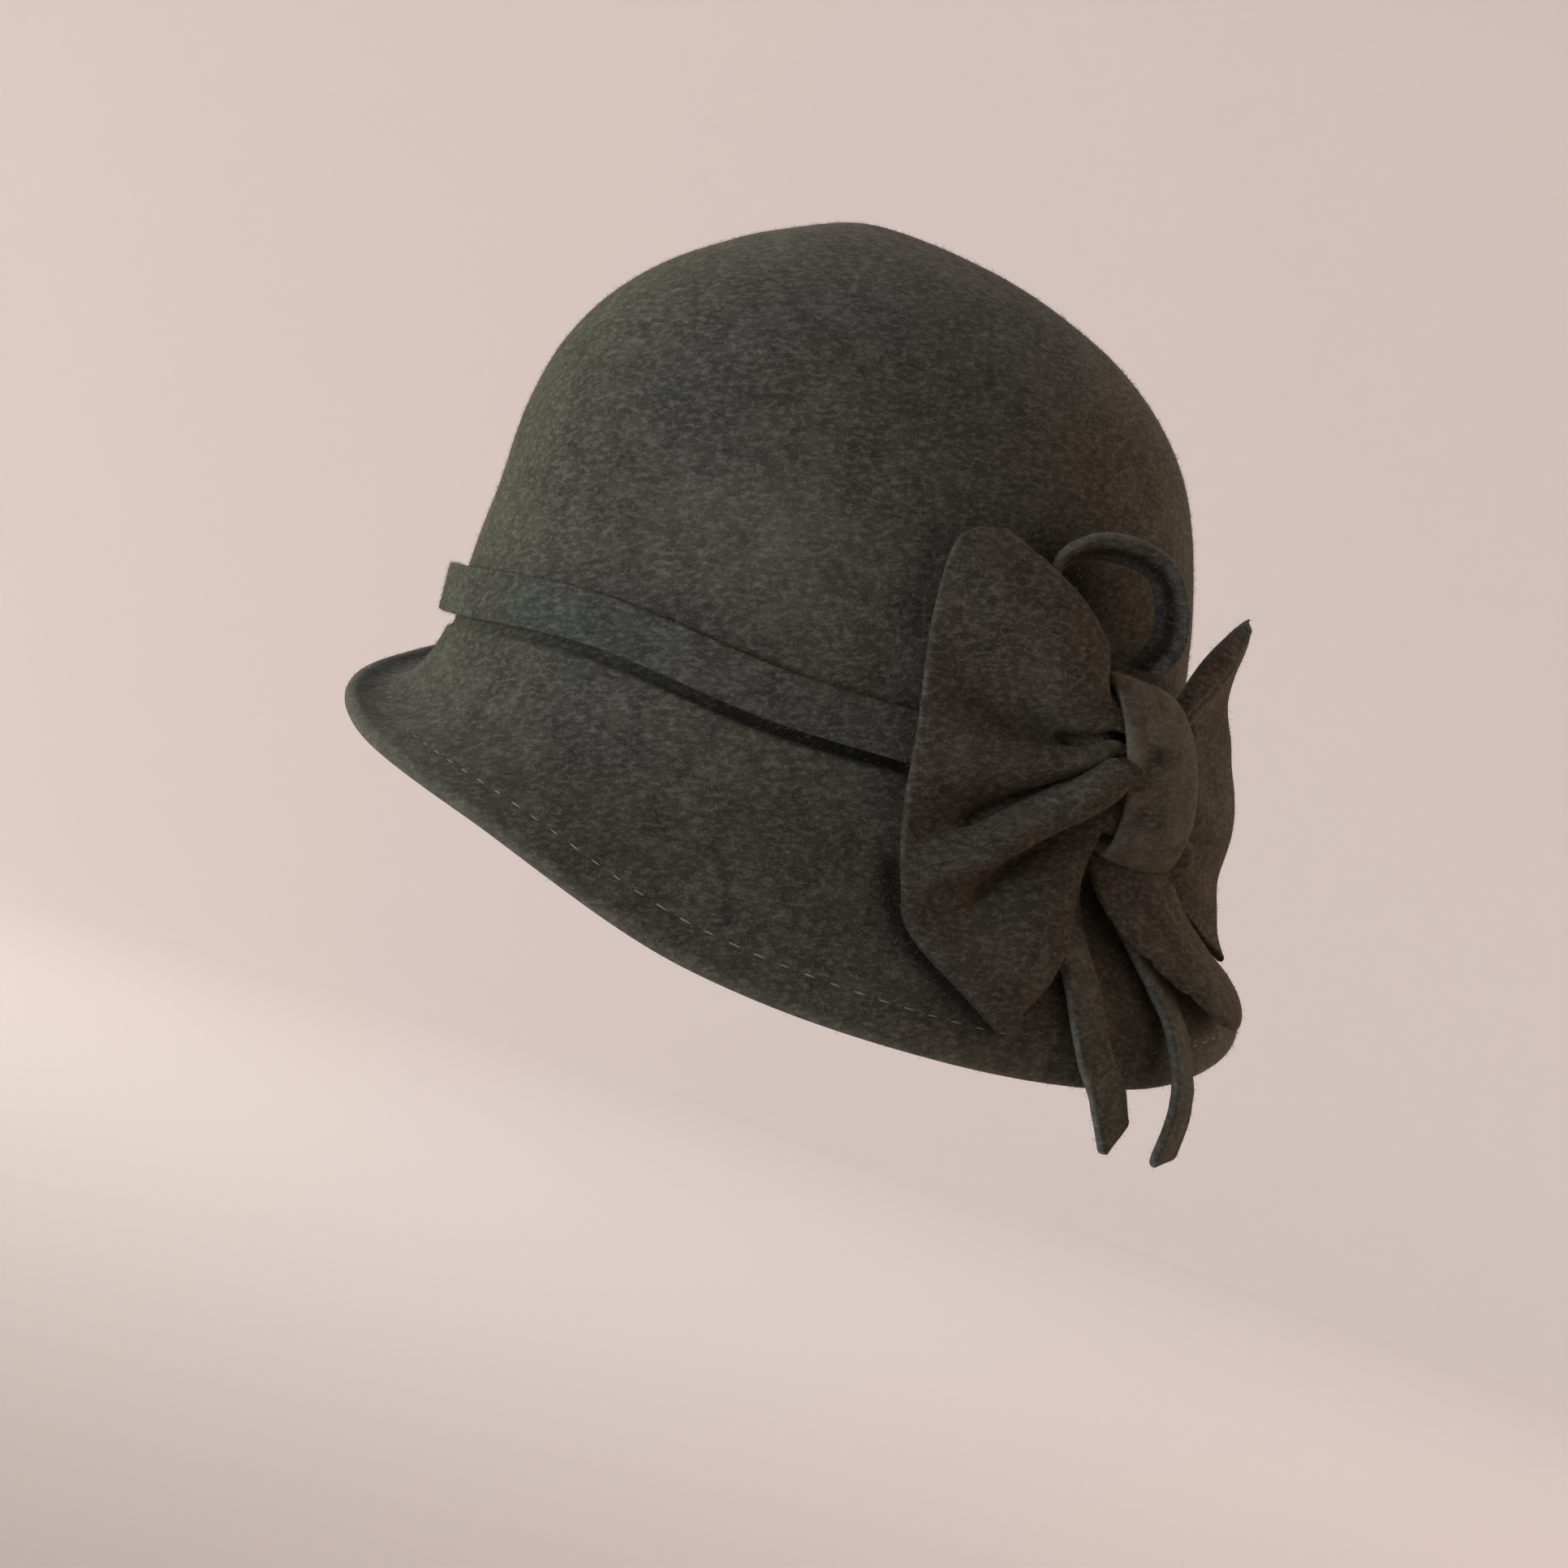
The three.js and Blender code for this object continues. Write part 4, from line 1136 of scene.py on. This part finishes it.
def set_camera():
    """The camera, and its own sideways, upward and backward directions."""
    a, e, r = (math.radians(v) for v in (VIEW_DIRECTION, VIEW_RISE, VIEW_ROLL))
    level = Vector((math.cos(a), math.sin(a), 0))
    back = Vector((math.sin(a) * math.cos(e), -math.cos(a) * math.cos(e), math.sin(e)))
    rise = back.cross(level)
    side = level * math.cos(r) + rise * math.sin(r)
    up = rise * math.cos(r) - level * math.sin(r)
    data = bpy.data.cameras.new("camera")
    data.sensor_width, data.lens = 36, LENS
    data.clip_start, data.clip_end = 0.05, 20
    camera = bpy.data.objects.new("camera", data)
    bpy.context.scene.collection.objects.link(camera)
    target = level * AIM_SIDE + rise * AIM_UP
    turn = Matrix((side, up, back)).transposed()
    camera.matrix_world = Matrix.Translation(target + back * VIEW_DISTANCE) @ turn.to_4x4()
    bpy.context.scene.camera = camera
    return side, up, back


side, up, back = set_camera()
print("camera at", [round(v, 3) for v in bpy.context.scene.camera.matrix_world.translation])

# %% [markdown]
# ## The light
# Matt felt shows its folds only by soft shade, so the light is daylight from one side. A large
# window stands on the left, its far pane throws a greenish light along the crown's edge, and a
# weak warm lamp on the right keeps that side open. Four more lights are aimed at the walls, which
# makes them pale. One even dome of light would be simpler, but it would flatten every fold.

# %% Set the lights
def soft_light(name, place, size, power, colour, aim=Vector((0, 0, 0))):
    """A square area light at a place, aimed at the hat or at another point."""
    data = bpy.data.lights.new(name, "AREA")
    data.shape, data.size = "SQUARE", size
    data.energy, data.color = power, linear(colour)[:3]
    lamp = bpy.data.objects.new(name, data)
    lamp.location = place
    lamp.rotation_mode = "QUATERNION"
    lamp.rotation_quaternion = (aim - place).to_track_quat("-Z", "Y")
    bpy.context.scene.collection.objects.link(lamp)


sky = bpy.data.worlds.new("warm light from above")
sky.use_nodes = True
sky.node_tree.nodes["Background"].inputs["Color"].default_value = linear(0xFFDDB4)
sky.node_tree.nodes["Background"].inputs["Strength"].default_value = 0.18
bpy.context.scene.world = sky
bpy.context.scene.view_settings.view_transform = "Standard"
BEHIND, HIGH = back * -3, Vector((0, 0, 1.1))
soft_light("window", side * -1.2 + back, 1.0, 28, 0xE8F2FF)
soft_light("window, far pane", side * -1.4 - back * 0.8, 1.0, 14, 0xD8FFAE)
soft_light("lamp, right", side * 1.3 - back * 0.5, 1.0, 3.2, 0xFFC07A)
LEFT_WALL, RIGHT_WALL, UPPER_WALL = BEHIND + side * 0.6, BEHIND - side * 0.6, BEHIND - up * 0.3
soft_light("wall light, left", side * -1.7 - back * 0.9 + HIGH, 1.0, 21, 0xFFF0D0, LEFT_WALL)
soft_light("wall light, right", side * 1.7 - back * 0.9 + HIGH / 2, 1.0, 15, 0xFFFFFF, RIGHT_WALL)
soft_light("wall light, top", up * 1.6 - back * 0.6, 1.0, 27, 0xC8E2FF, UPPER_WALL)
soft_light("room light", back * 1.5 + HIGH * 1.6, 1.5, 10, 0xE8F2FF, back * 4)
print("lights:", [light.name for light in bpy.data.lights])
